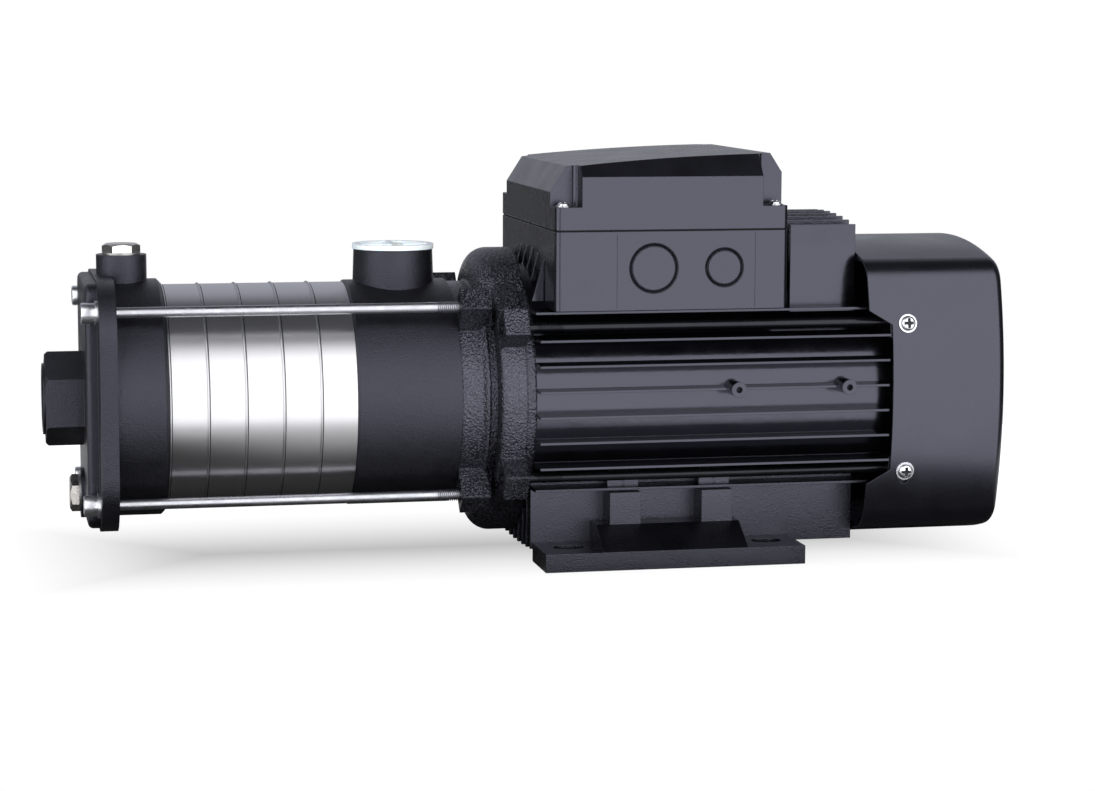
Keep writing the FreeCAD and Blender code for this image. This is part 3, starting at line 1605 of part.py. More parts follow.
def lid_form(name, inset, bottom):
    """The lid's outer or inner form: the side view and the end view cross each other."""
    side_view = [
        (f"{inset} - box_half_length", bottom),
        (f"{inset} - box_half_length", "lid_shoulder_front"),
        (f"lid_bevel_front + {inset} / 2 - box_half_length", f"lid_crest_front - {inset}", "lid_crown"),
        (f"box_half_length - lid_bevel_back - {inset} / 2", f"lid_crest_back - {inset}"),
        (f"box_half_length - {inset}", "lid_shoulder_back"),
        (f"box_half_length - {inset}", bottom),
    ]
    end_view = [
        (f"{inset} - box_half_width", bottom),
        (f"box_half_width - {inset}", bottom),
        (f"box_half_width - {inset}", "lid_face_top"),
        (f"box_half_width - lid_face_bevel - {inset} / 2", f"lid_crest_back + 1 - {inset}"),
        (f"lid_face_bevel + {inset} / 2 - box_half_width", f"lid_crest_back + 1 - {inset}"),
        (f"{inset} - box_half_width", "lid_face_top"),
    ]
    side = extruded(
        f"{name}_side", side_view, "2 * box_half_width + 2", "XZ_Plane", z="shaft_height", midplane=True
    )
    end = extruded(
        f"{name}_end", end_view, "2 * box_half_length + 2", "YZ_Plane", z="shaft_height", midplane=True
    )
    return shared(name, [side, end])


def corner_block(name, a, b, grow, bottom):
    """The space over one lid screw, open outwards and up; grow adds the wall behind it."""
    reach_x = f"(pocket_length + {grow} + 1)"
    reach_y = f"(pocket_depth + {grow} + 1)"
    return block(
        name, reach_x, reach_y, "lid_crest_back - pocket_floor + 2 * lid_wall",
        x=f"box_half_length + 1 - {reach_x}" if a > 0 else "0 - box_half_length - 1",
        y=f"box_half_width + 1 - {reach_y}" if b > 0 else "0 - box_half_width - 1",
        z=f"shaft_height + {bottom}",
    )


def make_lid():
    skirt_round = box_block("lid_round", "0", lid_bottom, "(lid_crest_back + 1)")
    outer = shared("lid_outer", [lid_form("lid_outer_form", "0", lid_bottom), skirt_round])
    inner = lid_form("lid_inner", "lid_wall", f"{lid_bottom} - 1")
    walls = []
    posts = []
    recesses = []
    holes = []
    for i, (a, b) in enumerate(quarters):
        walls.append(corner_block(f"lid_wall_{i}", a, b, "lid_wall", "pocket_floor - lid_wall"))
        screw_x = f"{a} * lid_screw_x"
        screw_y = f"{b} * lid_screw_y"
        posts.append(
            cylinder(
                f"lid_post_{i}", "lid_post_radius", f"pocket_floor - {lid_bottom}",
                x=screw_x, y=screw_y, z=f"shaft_height + {lid_bottom}",
            )
        )
        column = cylinder(
            f"lid_column_{i}", "lid_column_radius", "lid_crest_back - pocket_floor + lid_wall",
            x=f"{a} * (box_half_length - pocket_length)", y=f"{b} * (box_half_width - pocket_depth)",
            z="shaft_height + pocket_floor",
        )
        recesses.append(
            less(f"lid_recess_{i}", corner_block(f"lid_pocket_{i}", a, b, "0", "pocket_floor"), [column])
        )
        holes.append(
            cylinder(
                f"lid_hole_{i}", "lid_screw_radius + hole_clearance", "pocket_floor - box_joint + 2",
                x=screw_x, y=screw_y, z="shaft_height + box_joint - 1",
            )
        )
    hollow = less("lid_hollow", inner, walls + posts)
    keep("terminal_box_lid", less("lid_moulding", outer, [hollow] + recesses + holes))


def make_lid_screws():
    screws = []
    for i, (a, b) in enumerate(quarters):
        x = f"{a} * lid_screw_x"
        y = f"{b} * lid_screw_y"
        head = cylinder(
            f"lid_screw_head_{i}", "lid_screw_head_radius", "lid_screw_head_height",
            x=x, y=y, z="shaft_height + pocket_floor",
        )
        shank = cylinder(
            f"lid_screw_shank_{i}", "lid_screw_radius", "lid_screw_reach", x=x, y=y,
            z="shaft_height + pocket_floor - lid_screw_reach",
        )
        screws.append(fused(f"lid_screw_{i}", [head, shank]))
    keep("lid_screws", group("lid_screw_set", screws))
    sheet_form = box_block("gasket_outer", "gasket_setback", "box_joint", lid_bottom)
    window = round_block(
        "gasket_inner", "(box_half_length - box_wall)", "(box_half_width - box_wall)", "box_corner",
        "gasket_thickness + 2", "XY_Plane", z="shaft_height + box_joint - 1",
    )
    keep("terminal_box_gasket", less("gasket_cut", sheet_form, [window]))


def make_terminals():
    floor = "(shaft_height + barrel_radius + seat_gap + box_wall)"
    base = block(
        "block_base", "block_length", "block_width", "block_height + block_sink",
        x="0 - block_length / 2", y="0 - block_width / 2", z=f"{floor} - block_sink",
    )
    saddle = cylinder(
        "block_saddle", "barrel_radius + seat_gap + box_wall", "block_length + 2",
        x="0 - block_length / 2 - 1", z="shaft_height", turn=along_x,
    )
    holes = []
    studs = []
    links = []
    for i in range(3):
        for j in range(2):
            x = f"({i} - 1) * terminal_pitch_x"
            y = f"({j} - 0.5) * terminal_pitch_y"
            studs.append(
                cylinder(
                    f"terminal_stud_{i}_{j}", "terminal_radius", "terminal_height + terminal_root",
                    x=x, y=y, z=f"{floor} + block_height - terminal_root",
                )
            )
            holes.append(
                cylinder(
                    f"terminal_hole_{i}_{j}", "terminal_radius + slip_gap", "terminal_root + 1",
                    x=x, y=y, z=f"{floor} + block_height - terminal_root",
                )
            )
        link = block(
            f"terminal_link_{i}", "link_width", "terminal_pitch_y + link_width", "link_thickness",
            x=f"({i} - 1) * terminal_pitch_x - link_width / 2",
            y="0 - (terminal_pitch_y + link_width) / 2", z=f"{floor} + block_height",
        )
        eyes = [
            cylinder(
                f"link_eye_{i}_{j}", "terminal_radius + slip_gap", "link_thickness + 2",
                x=f"({i} - 1) * terminal_pitch_x", y=f"({j} - 0.5) * terminal_pitch_y",
                z=f"{floor} + block_height - 1",
            )
            for j in range(2)
        ]
        links.append(less(f"link_plate_{i}", link, eyes))
    keep("terminal_block", less("block_moulding", base, [saddle] + holes))
    keep("terminal_studs", group("terminal_stud_set", studs))
    keep("terminal_links", group("terminal_link_set", links))
    reach = "(barrel_radius + seat_gap + box_wall + capacitor_radius + seat_gap)"
    can_y = "(box_half_width - box_wall - capacitor_radius - seat_gap)"
    keep(
        "run_capacitor",
        cylinder(
            "capacitor_can", "capacitor_radius", "capacitor_length",
            x="0 - capacitor_length / 2", y=can_y, z=f"shaft_height + sqrt({reach} ^ 2 - {can_y} ^ 2)",
            turn=along_x,
        ),
    )


make_inlet_casing()
make_plugs()
make_tie_bolts()
make_stage_chambers()
make_impellers()
make_outlet_casing()
make_outlet_cap()
make_bracket()
make_shaft_line()
make_seal()
make_bearings()
make_housing()
make_through_bolts()
make_motor_parts()
make_rear_shield()
make_fan()
make_fan_cover()
make_cover_screws()
make_feet()
make_terminal_base()
make_lid()
make_lid_screws()
make_terminals()
doc.recompute()

failed = [thing.Name for thing in doc.Objects if "Invalid" in thing.State or "Error" in thing.State]
if failed:
    raise RuntimeError(f"these did not build: {failed}")
for node, thing in pieces.items():
    if thing.Shape.isNull() or not thing.Shape.isValid():
        raise RuntimeError(f"{node} has no valid shape")

os.makedirs("parts", exist_ok=True)
for node, thing in pieces.items():
    thing.Shape.exportStep(f"parts/{node}.step")
print(f"{len(pieces)} pieces written")
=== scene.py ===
import bpy
import bmesh
import math
from mathutils import Matrix, Vector


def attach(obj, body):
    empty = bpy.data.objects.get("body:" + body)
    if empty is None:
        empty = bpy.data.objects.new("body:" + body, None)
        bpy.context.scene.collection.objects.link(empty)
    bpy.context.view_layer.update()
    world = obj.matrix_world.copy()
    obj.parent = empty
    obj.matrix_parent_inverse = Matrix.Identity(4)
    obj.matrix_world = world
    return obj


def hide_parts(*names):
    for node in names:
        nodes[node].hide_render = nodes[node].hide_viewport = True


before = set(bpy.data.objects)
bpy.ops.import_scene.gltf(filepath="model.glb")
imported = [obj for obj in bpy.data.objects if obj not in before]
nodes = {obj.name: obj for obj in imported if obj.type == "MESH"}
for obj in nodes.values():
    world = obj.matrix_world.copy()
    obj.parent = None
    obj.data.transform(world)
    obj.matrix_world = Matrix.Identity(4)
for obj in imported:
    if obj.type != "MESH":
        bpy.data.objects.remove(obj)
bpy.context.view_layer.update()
mm = 0.001
shaftHeight = 80  # mm above the foot plane
alongShaft = (1, 0, 0)
upward = (0, 0, 1)
nearSide = (0, -1, 0)
print("frame loaded with", len(nodes), "nodes")


# camera
camera = {
    "place": (-0.3412, -1.3770, 0.2584),  # metres, from the foot plane
    "yaw": 12.0417,                       # degrees to the right of +Y
    "pitch": 7.3966,                      # degrees down
    "roll": 0.1908,
    "lens": 92.15,                        # mm on a 36 mm wide sensor
}


def addCamera(settings):
    yaw = math.radians(settings["yaw"])
    pitch = math.radians(settings["pitch"])
    roll = math.radians(settings["roll"])
    ahead = Vector((math.sin(yaw) * math.cos(pitch), math.cos(yaw) * math.cos(pitch), -math.sin(pitch)))
    right = Vector((math.cos(yaw), -math.sin(yaw), 0))
    up = right.cross(ahead)
    rolledRight = right * math.cos(roll) + up * math.sin(roll)
    rolledUp = up * math.cos(roll) - right * math.sin(roll)
    data = bpy.data.cameras.new("camera")
    data.sensor_width = 36
    data.lens = settings["lens"]
    eye = bpy.data.objects.new("camera", data)
    bpy.context.scene.collection.objects.link(eye)
    turn = Matrix((rolledRight, rolledUp, -ahead)).transposed().to_4x4()
    eye.matrix_world = Matrix.Translation(settings["place"]) @ turn
    bpy.context.scene.camera = eye


addCamera(camera)
bpy.context.scene.view_settings.view_transform = "Standard"
print("camera placed")


# colour and node helpers
def hexColour(code):
    channels = [int(code[i:i + 2], 16) / 255 for i in (1, 3, 5)]
    linear = [c / 12.92 if c <= 0.04045 else ((c + 0.055) / 1.055) ** 2.4 for c in channels]
    return (*linear, 1)


def addNode(tree, kind, settings=None, links=None):
    node = tree.nodes.new(kind)
    for key, value in (settings or {}).items():
        if isinstance(key, int) or key in node.inputs:
            node.inputs[key].default_value = value
        else:
            setattr(node, key, value)
    for key, source in (links or {}).items():
        tree.links.new(source, node.inputs[key])
    return node


def newMaterial(name):
    material = bpy.data.materials.new(name)
    material.use_nodes = True
    tree = material.node_tree
    tree.nodes.clear()
    return material, tree


# noise textures seldom leave these spans, which are stretched to the full change of gloss or tone
noiseSpan = {"From Min": 0.3, "From Max": 0.7}
toneSpan = {"From Min": 0.35, "From Max": 0.65}
twoNoiseSpan = {"From Min": 0.7, "From Max": 1.3}


def startSurface(name, look):
    # every edge is rounded by a small radius, so that it catches light
    material, tree = newMaterial(name)
    place = addNode(tree, "ShaderNodeTexCoord").outputs["Object"]
    softened = addNode(tree, "ShaderNodeBevel", {"samples": 4, "Radius": look["edge"] * mm}).outputs[0]
    return material, tree, place, softened


def finishSurface(tree, look, normal, wander, span, colour=None, settings=None, links=None, duller=None):
    # the gloss wanders with a noise, and duller adds roughness in one zone of the surface
    roughness = addNode(tree, "ShaderNodeMapRange", {
        **span, "To Min": look["rough"] - look["spread"], "To Max": look["rough"] + look["spread"]},
        {"Value": wander}).outputs[0]
    if duller:
        zone, amount = duller
        roughness = addNode(tree, "ShaderNodeMath", {"operation": "MULTIPLY_ADD", 1: amount},
                            {0: zone, 2: roughness}).outputs[0]
    values = {"Metallic": look.get("metallic", 0.0), "Specular IOR Level": look.get("level", 0.5)}
    values.update(settings or {})
    sockets = {"Normal": normal, "Roughness": roughness}
    sockets.update(links or {})
    if "tint" in look:
        values["Specular Tint"] = hexColour(look["tint"])
    if colour:
        sockets["Base Color"] = colour
    else:
        values["Base Color"] = hexColour(look["colour"])
    shader = addNode(tree, "ShaderNodeBsdfPrincipled", values, sockets)
    addNode(tree, "ShaderNodeOutputMaterial", links={"Surface": shader.outputs[0]})


# coated, painted and moulded surfaces: a grain in the surface, and uneven gloss and tone
def coatedMaterial(name, look):
    material, tree, place, normal = startSurface(name, look)
    if "pebbles" in look:  # sand grains that the casting has copied as rounded bumps
        size, depth = look["pebbles"]
        pebble = addNode(tree, "ShaderNodeTexVoronoi", {"feature": "SMOOTH_F1", "Scale": 1 / (size * mm)},
                         {"Vector": place}).outputs["Distance"]
        normal = addNode(tree, "ShaderNodeBump", {"invert": True, "Distance": depth * mm, "Strength": 1.0},
                         {"Height": pebble, "Normal": normal}).outputs[0]
    for size, depth in look["grains"]:
        grain = addNode(tree, "ShaderNodeTexNoise", {"Scale": 1 / (size * mm), "Detail": 2.0},
                        {"Vector": place}).outputs["Fac"]
        normal = addNode(tree, "ShaderNodeBump", {"Distance": depth * mm, "Strength": 1.0},
                         {"Height": grain, "Normal": normal}).outputs[0]
    duller = None
    if "sandy" in look:  # the lower and upper ends of the casting, which were never dressed smooth
        sandy = look["sandy"]
        height = addNode(tree, "ShaderNodeSeparateXYZ", links={0: place}).outputs["Z"]
        low, high = [addNode(tree, "ShaderNodeMapRange", {"From Min": start * mm, "From Max": full * mm},
                             {"Value": height}).outputs[0] for start, full in (sandy["low"], sandy["high"])]
        zone = addNode(tree, "ShaderNodeMath", {"operation": "MAXIMUM"}, {0: low, 1: high}).outputs[0]
        sand = addNode(tree, "ShaderNodeTexNoise", {"Scale": 1 / (sandy["size"] * mm), "Detail": 2.0},
                       {"Vector": place}).outputs["Fac"]
        normal = addNode(tree, "ShaderNodeBump", {"Distance": sandy["depth"] * mm},
                         {"Strength": zone, "Height": sand, "Normal": normal}).outputs[0]
        duller = (zone, sandy["rough"])
    cloud = addNode(tree, "ShaderNodeTexNoise", {"Scale": 1 / (look["cloud"] * mm), "Detail": 3.0},
                    {"Vector": place}).outputs["Fac"]
    tone = addNode(tree, "ShaderNodeMapRange", toneSpan, {"Value": cloud}).outputs[0]
    colour = addNode(tree, "ShaderNodeMix", {
        "data_type": "RGBA", 6: hexColour(look["colour"]), 7: hexColour(look["second"])},
        {0: tone}).outputs[2]
    if "wornLitTops" in look:  # the coat is thin on the tops of the pebbles, and their pale colour there is also a painted highlight
        wornLitTops = look["wornLitTops"]
        top = addNode(tree, "ShaderNodeMapRange", {"From Min": wornLitTops["start"], "From Max": wornLitTops["full"]},
                      {"Value": pebble}).outputs[0]
        colour = addNode(tree, "ShaderNodeMix", {"data_type": "RGBA", 7: hexColour(wornLitTops["colour"])},
                         {0: top, 6: colour}).outputs[2]
    finishSurface(tree, look, normal, cloud, noiseSpan, colour, look.get("extra"), duller=duller)
    return material


# metal brushed, ground or turned round the shaft line: hairlines run round it and spread its light along X
def brushedMaterial(name, look):
    material, tree, place, normal = startSurface(name, look)
    parts = addNode(tree, "ShaderNodeSeparateXYZ", links={0: place})
    height = addNode(tree, "ShaderNodeMath", {"operation": "SUBTRACT", 1: shaftHeight * mm},
                     {0: parts.outputs["Z"]}).outputs[0]
    angle = addNode(tree, "ShaderNodeMath", {"operation": "ARCTAN2"},
                    {0: parts.outputs["Y"], 1: height}).outputs[0]
    along = addNode(tree, "ShaderNodeMath", {"operation": "MULTIPLY", 1: 1 / (look["line"] * mm)},
                    {0: parts.outputs["X"]}).outputs[0]
    around = addNode(tree, "ShaderNodeMath", {"operation": "MULTIPLY", 1: look["radius"] / look["length"]},
                     {0: angle}).outputs[0]
    spot = addNode(tree, "ShaderNodeCombineXYZ", links={"X": along, "Y": around}).outputs[0]
    hair = addNode(tree, "ShaderNodeTexNoise", {"noise_dimensions": "2D", "Scale": 1.0, "Detail": 3.0},
                   {"Vector": spot}).outputs["Fac"]
    cloud = addNode(tree, "ShaderNodeTexNoise", {"Scale": 1 / (look["cloud"] * mm), "Detail": 2.0},
                    {"Vector": place}).outputs["Fac"]
    mixed = addNode(tree, "ShaderNodeMath", {"operation": "ADD"}, {0: hair, 1: cloud}).outputs[0]
    normal = addNode(tree, "ShaderNodeBump", {"Distance": look["depth"] * mm, "Strength": 1.0},
                     {"Height": hair, "Normal": normal}).outputs[0]
    tangent = addNode(tree, "ShaderNodeTangent", {"direction_type": "RADIAL", "axis": "X"}).outputs[0]
    acrossHairs = 0.25  # a quarter turn
    finishSurface(tree, look, normal, mixed, twoNoiseSpan, None,
                  {"Anisotropic": look["stretch"], "Anisotropic Rotation": acrossHairs}, {"Tangent": tangent})
    return material


# metal fasteners: plated or plain, with a fine even tooth and small smears of tone
def fastenerMaterial(name, look):
    material, tree, place, normal = startSurface(name, look)
    tooth = addNode(tree, "ShaderNodeTexNoise", {"Scale": 1 / (look["grain"] * mm), "Detail": 3.0},
                    {"Vector": place}).outputs["Fac"]
    normal = addNode(tree, "ShaderNodeBump", {"Distance": look["depth"] * mm, "Strength": 1.0},
                     {"Height": tooth, "Normal": normal}).outputs[0]
    smear = addNode(tree, "ShaderNodeTexNoise", {"Scale": 1 / (look["cloud"] * mm), "Detail": 2.0},
                    {"Vector": place}).outputs["Fac"]
    colour = addNode(tree, "ShaderNodeMix", {
        "data_type": "RGBA", 6: hexColour(look["colour"]), 7: hexColour(look["second"])},
        {0: smear}).outputs[2]
    finishSurface(tree, look, normal, smear, noiseSpan, colour)
    return material


# Lengths in the looks are mm. A grain is (size, depth). Fine sand, mould grain and plating are finer than
# this in life, and are drawn about half a millimetre across so that they show.
coolTint = "#e4e6ff"  # the black coats throw back a slightly blue light
coatedLooks = {
    # fine-sand iron casting, machined and dip coated: deep black, satin, an even sandy tooth
    "dippedFineCastIron": {
        "colour": "#08080a", "second": "#0b0b0e", "rough": 0.36, "spread": 0.05, "level": 0.62,
        "tint": coolTint, "edge": 0.7, "cloud": 9, "grains": [(0.5, 0.26), (2.0, 0.1)]},
    # green-sand iron casting, dip coated as cast: pebbly, catches the light in small flecks, and the pebble
    # tops carry a painted highlight
    "dippedCoarseCastIron": {
        "colour": "#070709", "second": "#0c0c10", "rough": 0.29, "spread": 0.08, "level": 0.85,
        "tint": coolTint, "edge": 1.4, "cloud": 6, "pebbles": (0.95, 0.5), "grains": [(0.45, 0.14)],
        "wornLitTops": {"colour": "#3f4047", "start": 0.42, "full": 0.12}},  # distances from a pebble's middle
    # die-cast aluminium under gloss stove enamel: wet-looking black with sharp streaks of light
    "stovedAluminium": {
        "colour": "#060608", "second": "#08080b", "rough": 0.15, "spread": 0.04, "level": 0.75,
        "tint": coolTint, "edge": 0.38, "cloud": 14, "grains": [(4.0, 0.03), (0.6, 0.006)],
        "sandy": {"low": (46, 40), "high": (150, 156), "size": 0.6, "depth": 0.14, "rough": 0.13}},
    # deep-drawn sheet steel, powder coated: smooth, semi-gloss, faint orange peel
    "powderCoatedSheet": {
        "colour": "#08080b", "second": "#0a0a0d", "rough": 0.27, "spread": 0.03, "level": 0.78,
        "tint": coolTint, "edge": 0.5, "cloud": 22, "grains": [(2.2, 0.012)]},
    # glass-filled nylon, injection moulded: satin with a very fine mould grain
    "mouldedNylon": {
        "colour": "#0a0a0d", "second": "#0c0c10", "rough": 0.25, "spread": 0.04, "level": 0.75,
        "tint": coolTint, "edge": 0.5, "cloud": 16, "grains": [(0.5, 0.02), (5.0, 0.03)]},
    # low-density polyethylene, injection moulded: milky white, waxy
    "milkyPolyethylene": {
        "colour": "#eef4f7", "second": "#e6eef3", "rough": 0.38, "spread": 0.05,
        "edge": 0.3, "cloud": 8, "grains": [(1.5, 0.01)],
        "extra": {"Subsurface Weight": 0.25, "Subsurface Scale": 0.002}},
    # nitrile rubber, moulded: dull black
    "nitrileRubber": {
        "colour": "#060607", "second": "#0a0a0b", "rough": 0.62, "spread": 0.08, "level": 0.15,
        "edge": 0.3, "cloud": 5, "grains": [(0.4, 0.01)]},
    # glass-filled polypropylene, moulded: grey-black, soft sheen
    "mouldedPolypropylene": {
        "colour": "#131315", "second": "#1a1a1c", "rough": 0.5, "spread": 0.06,
        "edge": 0.4, "cloud": 12, "grains": [(0.8, 0.01)]},
    # phenolic resin, moulded: amber brown, glassy
    "mouldedPhenolic": {
        "colour": "#8f6b35", "second": "#7d5a2a", "rough": 0.3, "spread": 0.06,
        "edge": 0.4, "cloud": 6, "grains": [(1.0, 0.01)]},
    # self-extinguishing plastic can, moulded: off-white, satin
    "capacitorCan": {
        "colour": "#cfcfc9", "second": "#c4c4bd", "rough": 0.42, "spread": 0.05,
        "edge": 0.6, "cloud": 14, "grains": [(1.2, 0.01)]},
    # alumina ceramic, lapped: ivory, mirror-smooth
    "lappedCeramic": {
        "colour": "#e6e0d2", "second": "#ded7c8", "rough": 0.12, "spread": 0.02,
        "edge": 0.2, "cloud": 5, "grains": [(0.5, 0.002)]},
    # resin carbon, lapped: soft black
    "lappedCarbon": {
        "colour": "#141414", "second": "#1b1b1b", "rough": 0.28, "spread": 0.04,
        "edge": 0.2, "cloud": 4, "grains": [(0.4, 0.003)]},
}
# Line is the width of a hairline and length its run round the given radius. Brushed and ground hairlines are
# a few hundredths of a millimetre wide in life, and are drawn wider so that they show.
brushedLooks = {
    # 304 stainless strip, brushed round the sleeve: the light spreads sideways into one broad white band
    "brushedStainless": {
        "colour": "#c6c5c8", "metallic": 1.0, "rough": 0.38, "spread": 0.025, "edge": 0.3, "cloud": 30,
        "line": 0.35, "length": 60, "radius": 55, "depth": 0.0015, "stretch": 0.8},
    # 304 stainless sheet, pressed: satin, drawn streaks round it
    "pressedStainless": {
        "colour": "#b9babc", "metallic": 1.0, "rough": 0.34, "spread": 0.06, "edge": 0.3, "cloud": 12,
        "line": 0.5, "length": 12, "radius": 40, "depth": 0.004, "stretch": 0.5},
    # carbon steel bar, ground: bright, with fine rings
    "groundSteel": {
        "colour": "#a9abae", "metallic": 1.0, "rough": 0.22, "spread": 0.04, "edge": 0.3, "cloud": 12,
        "line": 0.3, "length": 20, "radius": 12, "depth": 0.003, "stretch": 0.6},
    # bearing steel, ground and polished: darker and sharper
    "bearingSteel": {
        "colour": "#b4b6ba", "metallic": 1.0, "rough": 0.14, "spread": 0.03, "edge": 0.3, "cloud": 10,
        "line": 0.25, "length": 20, "radius": 20, "depth": 0.002, "stretch": 0.5},
    # electrical sheet, punched and stacked: half-millimetre laminations show as fine dull rings
    "stackedLaminations": {
        "colour": "#5c5d61", "metallic": 0.9, "rough": 0.45, "spread": 0.1, "edge": 0.2, "cloud": 15,
        "line": 0.5, "length": 400, "radius": 50, "depth": 0.06, "stretch": 0.3},
    # enamelled copper wire, wound and varnished: turns about a millimetre apart
    "varnishedWinding": {
        "colour": "#8a4a22", "metallic": 0.7, "rough": 0.35, "spread": 0.08, "edge": 0.8, "cloud": 7,
        "line": 1.0, "length": 60, "radius": 45, "depth": 0.35, "stretch": 0.2},
}
fastenerLooks = {
    # carbon steel, bright zinc plated: silvery, a little milky
    "brightZinc": {
        "colour": "#dcdde2", "second": "#c8c9cf", "metallic": 1.0, "rough": 0.31, "spread": 0.06,
        "edge": 0.25, "grain": 0.5, "depth": 0.01, "cloud": 5},
    # the same plating down in a punched recess, painted dark and dull as the shade in it
    "shadedRecessZinc": {
        "colour": "#2a2b2e", "second": "#1d1e20", "metallic": 0.5, "rough": 0.5, "spread": 0.08,
        "edge": 0.1, "grain": 0.4, "depth": 0.01, "cloud": 2},
    # carbon steel, drawn and zinc plated: grey, with a soft line of light
    "drawnZinc": {
        "colour": "#b2b3b9", "second": "#9b9ca2", "metallic": 1.0, "rough": 0.32, "spread": 0.08,
        "edge": 0.2, "grain": 0.5, "depth": 0.03, "cloud": 6},
    # carbon steel, black oxide: almost black, oily, thin highlight
    "blackOxide": {
        "colour": "#1d1e22", "second": "#26272c", "metallic": 0.8, "rough": 0.24, "spread": 0.06,
        "edge": 0.2, "grain": 0.6, "depth": 0.01, "cloud": 6},
    # 304 stainless, machined from hexagon bar: slightly warm and bright
    "machinedStainless": {
        "colour": "#dedad6", "second": "#cfcac5", "metallic": 1.0, "rough": 0.3, "spread": 0.06,
        "edge": 0.25, "grain": 0.6, "depth": 0.008, "cloud": 6},
    # soft aluminium sealing ring: pale and dull
    "softAluminium": {
        "colour": "#b6b6b6", "second": "#9f9fa0", "metallic": 1.0, "rough": 0.42, "spread": 0.06,
        "edge": 0.2, "grain": 0.5, "depth": 0.01, "cloud": 4},
    # brass, turned and left bare: yellow, bright
    "turnedBrass": {
        "colour": "#c9a64f", "second": "#b48f3d", "metallic": 1.0, "rough": 0.25, "spread": 0.06,
        "edge": 0.2, "grain": 0.5, "depth": 0.008, "cloud": 5},
}
materials = {name: coatedMaterial(name, look) for name, look in coatedLooks.items()}
materials.update({name: brushedMaterial(name, look) for name, look in brushedLooks.items()})
materials.update({name: fastenerMaterial(name, look) for name, look in fastenerLooks.items()})

finishOf = {
    "dippedFineCastIron": ["inlet_casing", "outlet_casing"],
    "dippedCoarseCastIron": ["motor_bracket"],
    "stovedAluminium": ["motor_housing", "rear_end_shield", "foot_near", "foot_far"],
    "powderCoatedSheet": ["fan_cover"],
    "mouldedNylon": ["terminal_box_base", "terminal_box_lid"],
    "milkyPolyethylene": ["outlet_cap"],
    "nitrileRubber": ["terminal_box_gasket", "slinger"],
    "mouldedPolypropylene": ["cooling_fan"],
    "mouldedPhenolic": ["terminal_block"],
    "capacitorCan": ["run_capacitor"],
    "lappedCeramic": ["seal_stationary_seat"],
    "lappedCarbon": ["seal_rotating_ring"],
    "brushedStainless": [f"stage_chamber_{i}" for i in range(1, 6)],
    "pressedStainless": [f"impeller_{i}" for i in range(1, 6)] + ["impeller_nut", "seal_spring"],
    "groundSteel": ["shaft"],
    "bearingSteel": ["bearing_outer_rings", "bearing_inner_rings", "bearing_ball_sets"],
    "stackedLaminations": ["stator_core", "rotor_core"],
    "varnishedWinding": ["stator_windings"],
    "brightZinc": ["tie_bolt_washers", "fan_cover_screws", "fan_cover_washers", "foot_screws",
                   "lid_screws", "fan_clip"],
    "drawnZinc": ["tie_bolts"],
    "blackOxide": ["through_bolts"],
    "machinedStainless": ["priming_plug", "drain_plug"],
    "softAluminium": ["priming_plug_washer", "drain_plug_washer"],
    "turnedBrass": ["terminal_studs", "terminal_links"],
}
for finish, names in finishOf.items():
    for name in names:
        nodes[name].data.materials.clear()
        nodes[name].data.materials.append(materials[finish])
missing = set(nodes) - {name for names in finishOf.values() for name in names}
print("finishes given to", len(nodes) - len(missing), "nodes; without:", sorted(missing))


# piece helpers: forms are built about +Z in millimetres, then stood in place
def hexReach(corner, turn):
    # a hexagon's reach from its centre, in a direction given in radians
    return corner * math.cos(math.pi / 6) / math.cos(turn % (math.pi / 3) - math.pi / 6)


def addRing(shape, reaches, turns, heights):
    return [shape.verts.new((reach * math.cos(turn), reach * math.sin(turn), z))
            for reach, turn, z in zip(reaches, turns, heights)]


def addBand(shape, low, high):
    # a face from each point of one ring and the next point on, to the same two of the other ring
    lowNext, highNext = low[1:] + low[:1], high[1:] + high[:1]
    return [shape.faces.new(corners) for corners in zip(low, lowNext, highNext, high)]


def addLathe(shape, profile, count=48):
    # the profile's points are (z, radius), or (z, corner radius, "hex") for a hexagon
    rings = []
    turns = [2 * math.pi * i / count for i in range(count)]
    for z, radius, *form in profile:
        if radius == 0:
            rings.append([shape.verts.new((0, 0, z))])
            continue
        reaches = [hexReach(radius, t) if form else radius for t in turns]
        rings.append(addRing(shape, reaches, turns, [z] * count))
    for low, high in zip(rings, rings[1:]):
        for i in range(count):
            j = (i + 1) % count
            corners = [low[i % len(low)], low[j % len(low)], high[j % len(high)], high[i % len(high)]]
            corners = list(dict.fromkeys(corners))  # a ring on the axis is a single point
            if len(corners) > 2:
                shape.faces.new(corners)


def addHexHead(shape, bottom, top, corner, chamfer, crownShare=0.93, steps=8):
    # the crown is cut by a cone, so each flat ends in an arc; crownShare is of the half width across flats
    turns = [math.pi / 3 * side + math.pi / 3 * step / steps for side in range(6) for step in range(steps)]
    rims = [hexReach(corner, t) for t in turns]
    crownRadius = corner * math.cos(math.pi / 6) * crownShare
    slope = chamfer / (corner - crownRadius)
    low = addRing(shape, rims, turns, [bottom] * len(turns))
    high = addRing(shape, rims, turns, [top - slope * (r - crownRadius) for r in rims])
    crown = addRing(shape, [crownRadius] * len(turns), turns, [top] * len(turns))
    addBand(shape, low, high)
    addBand(shape, high, crown)
    shape.faces.new(crown)
    shape.faces.new(list(reversed(low)))


# a thread's section: each corner's share of the ridge's height, and its shift in pitches
threadSection = [(0, -0.32), (1, -0.06), (1, 0.06), (0, 0.32)]
fadeTurns = 0.5  # the ridge grows to its full height over this part of a turn


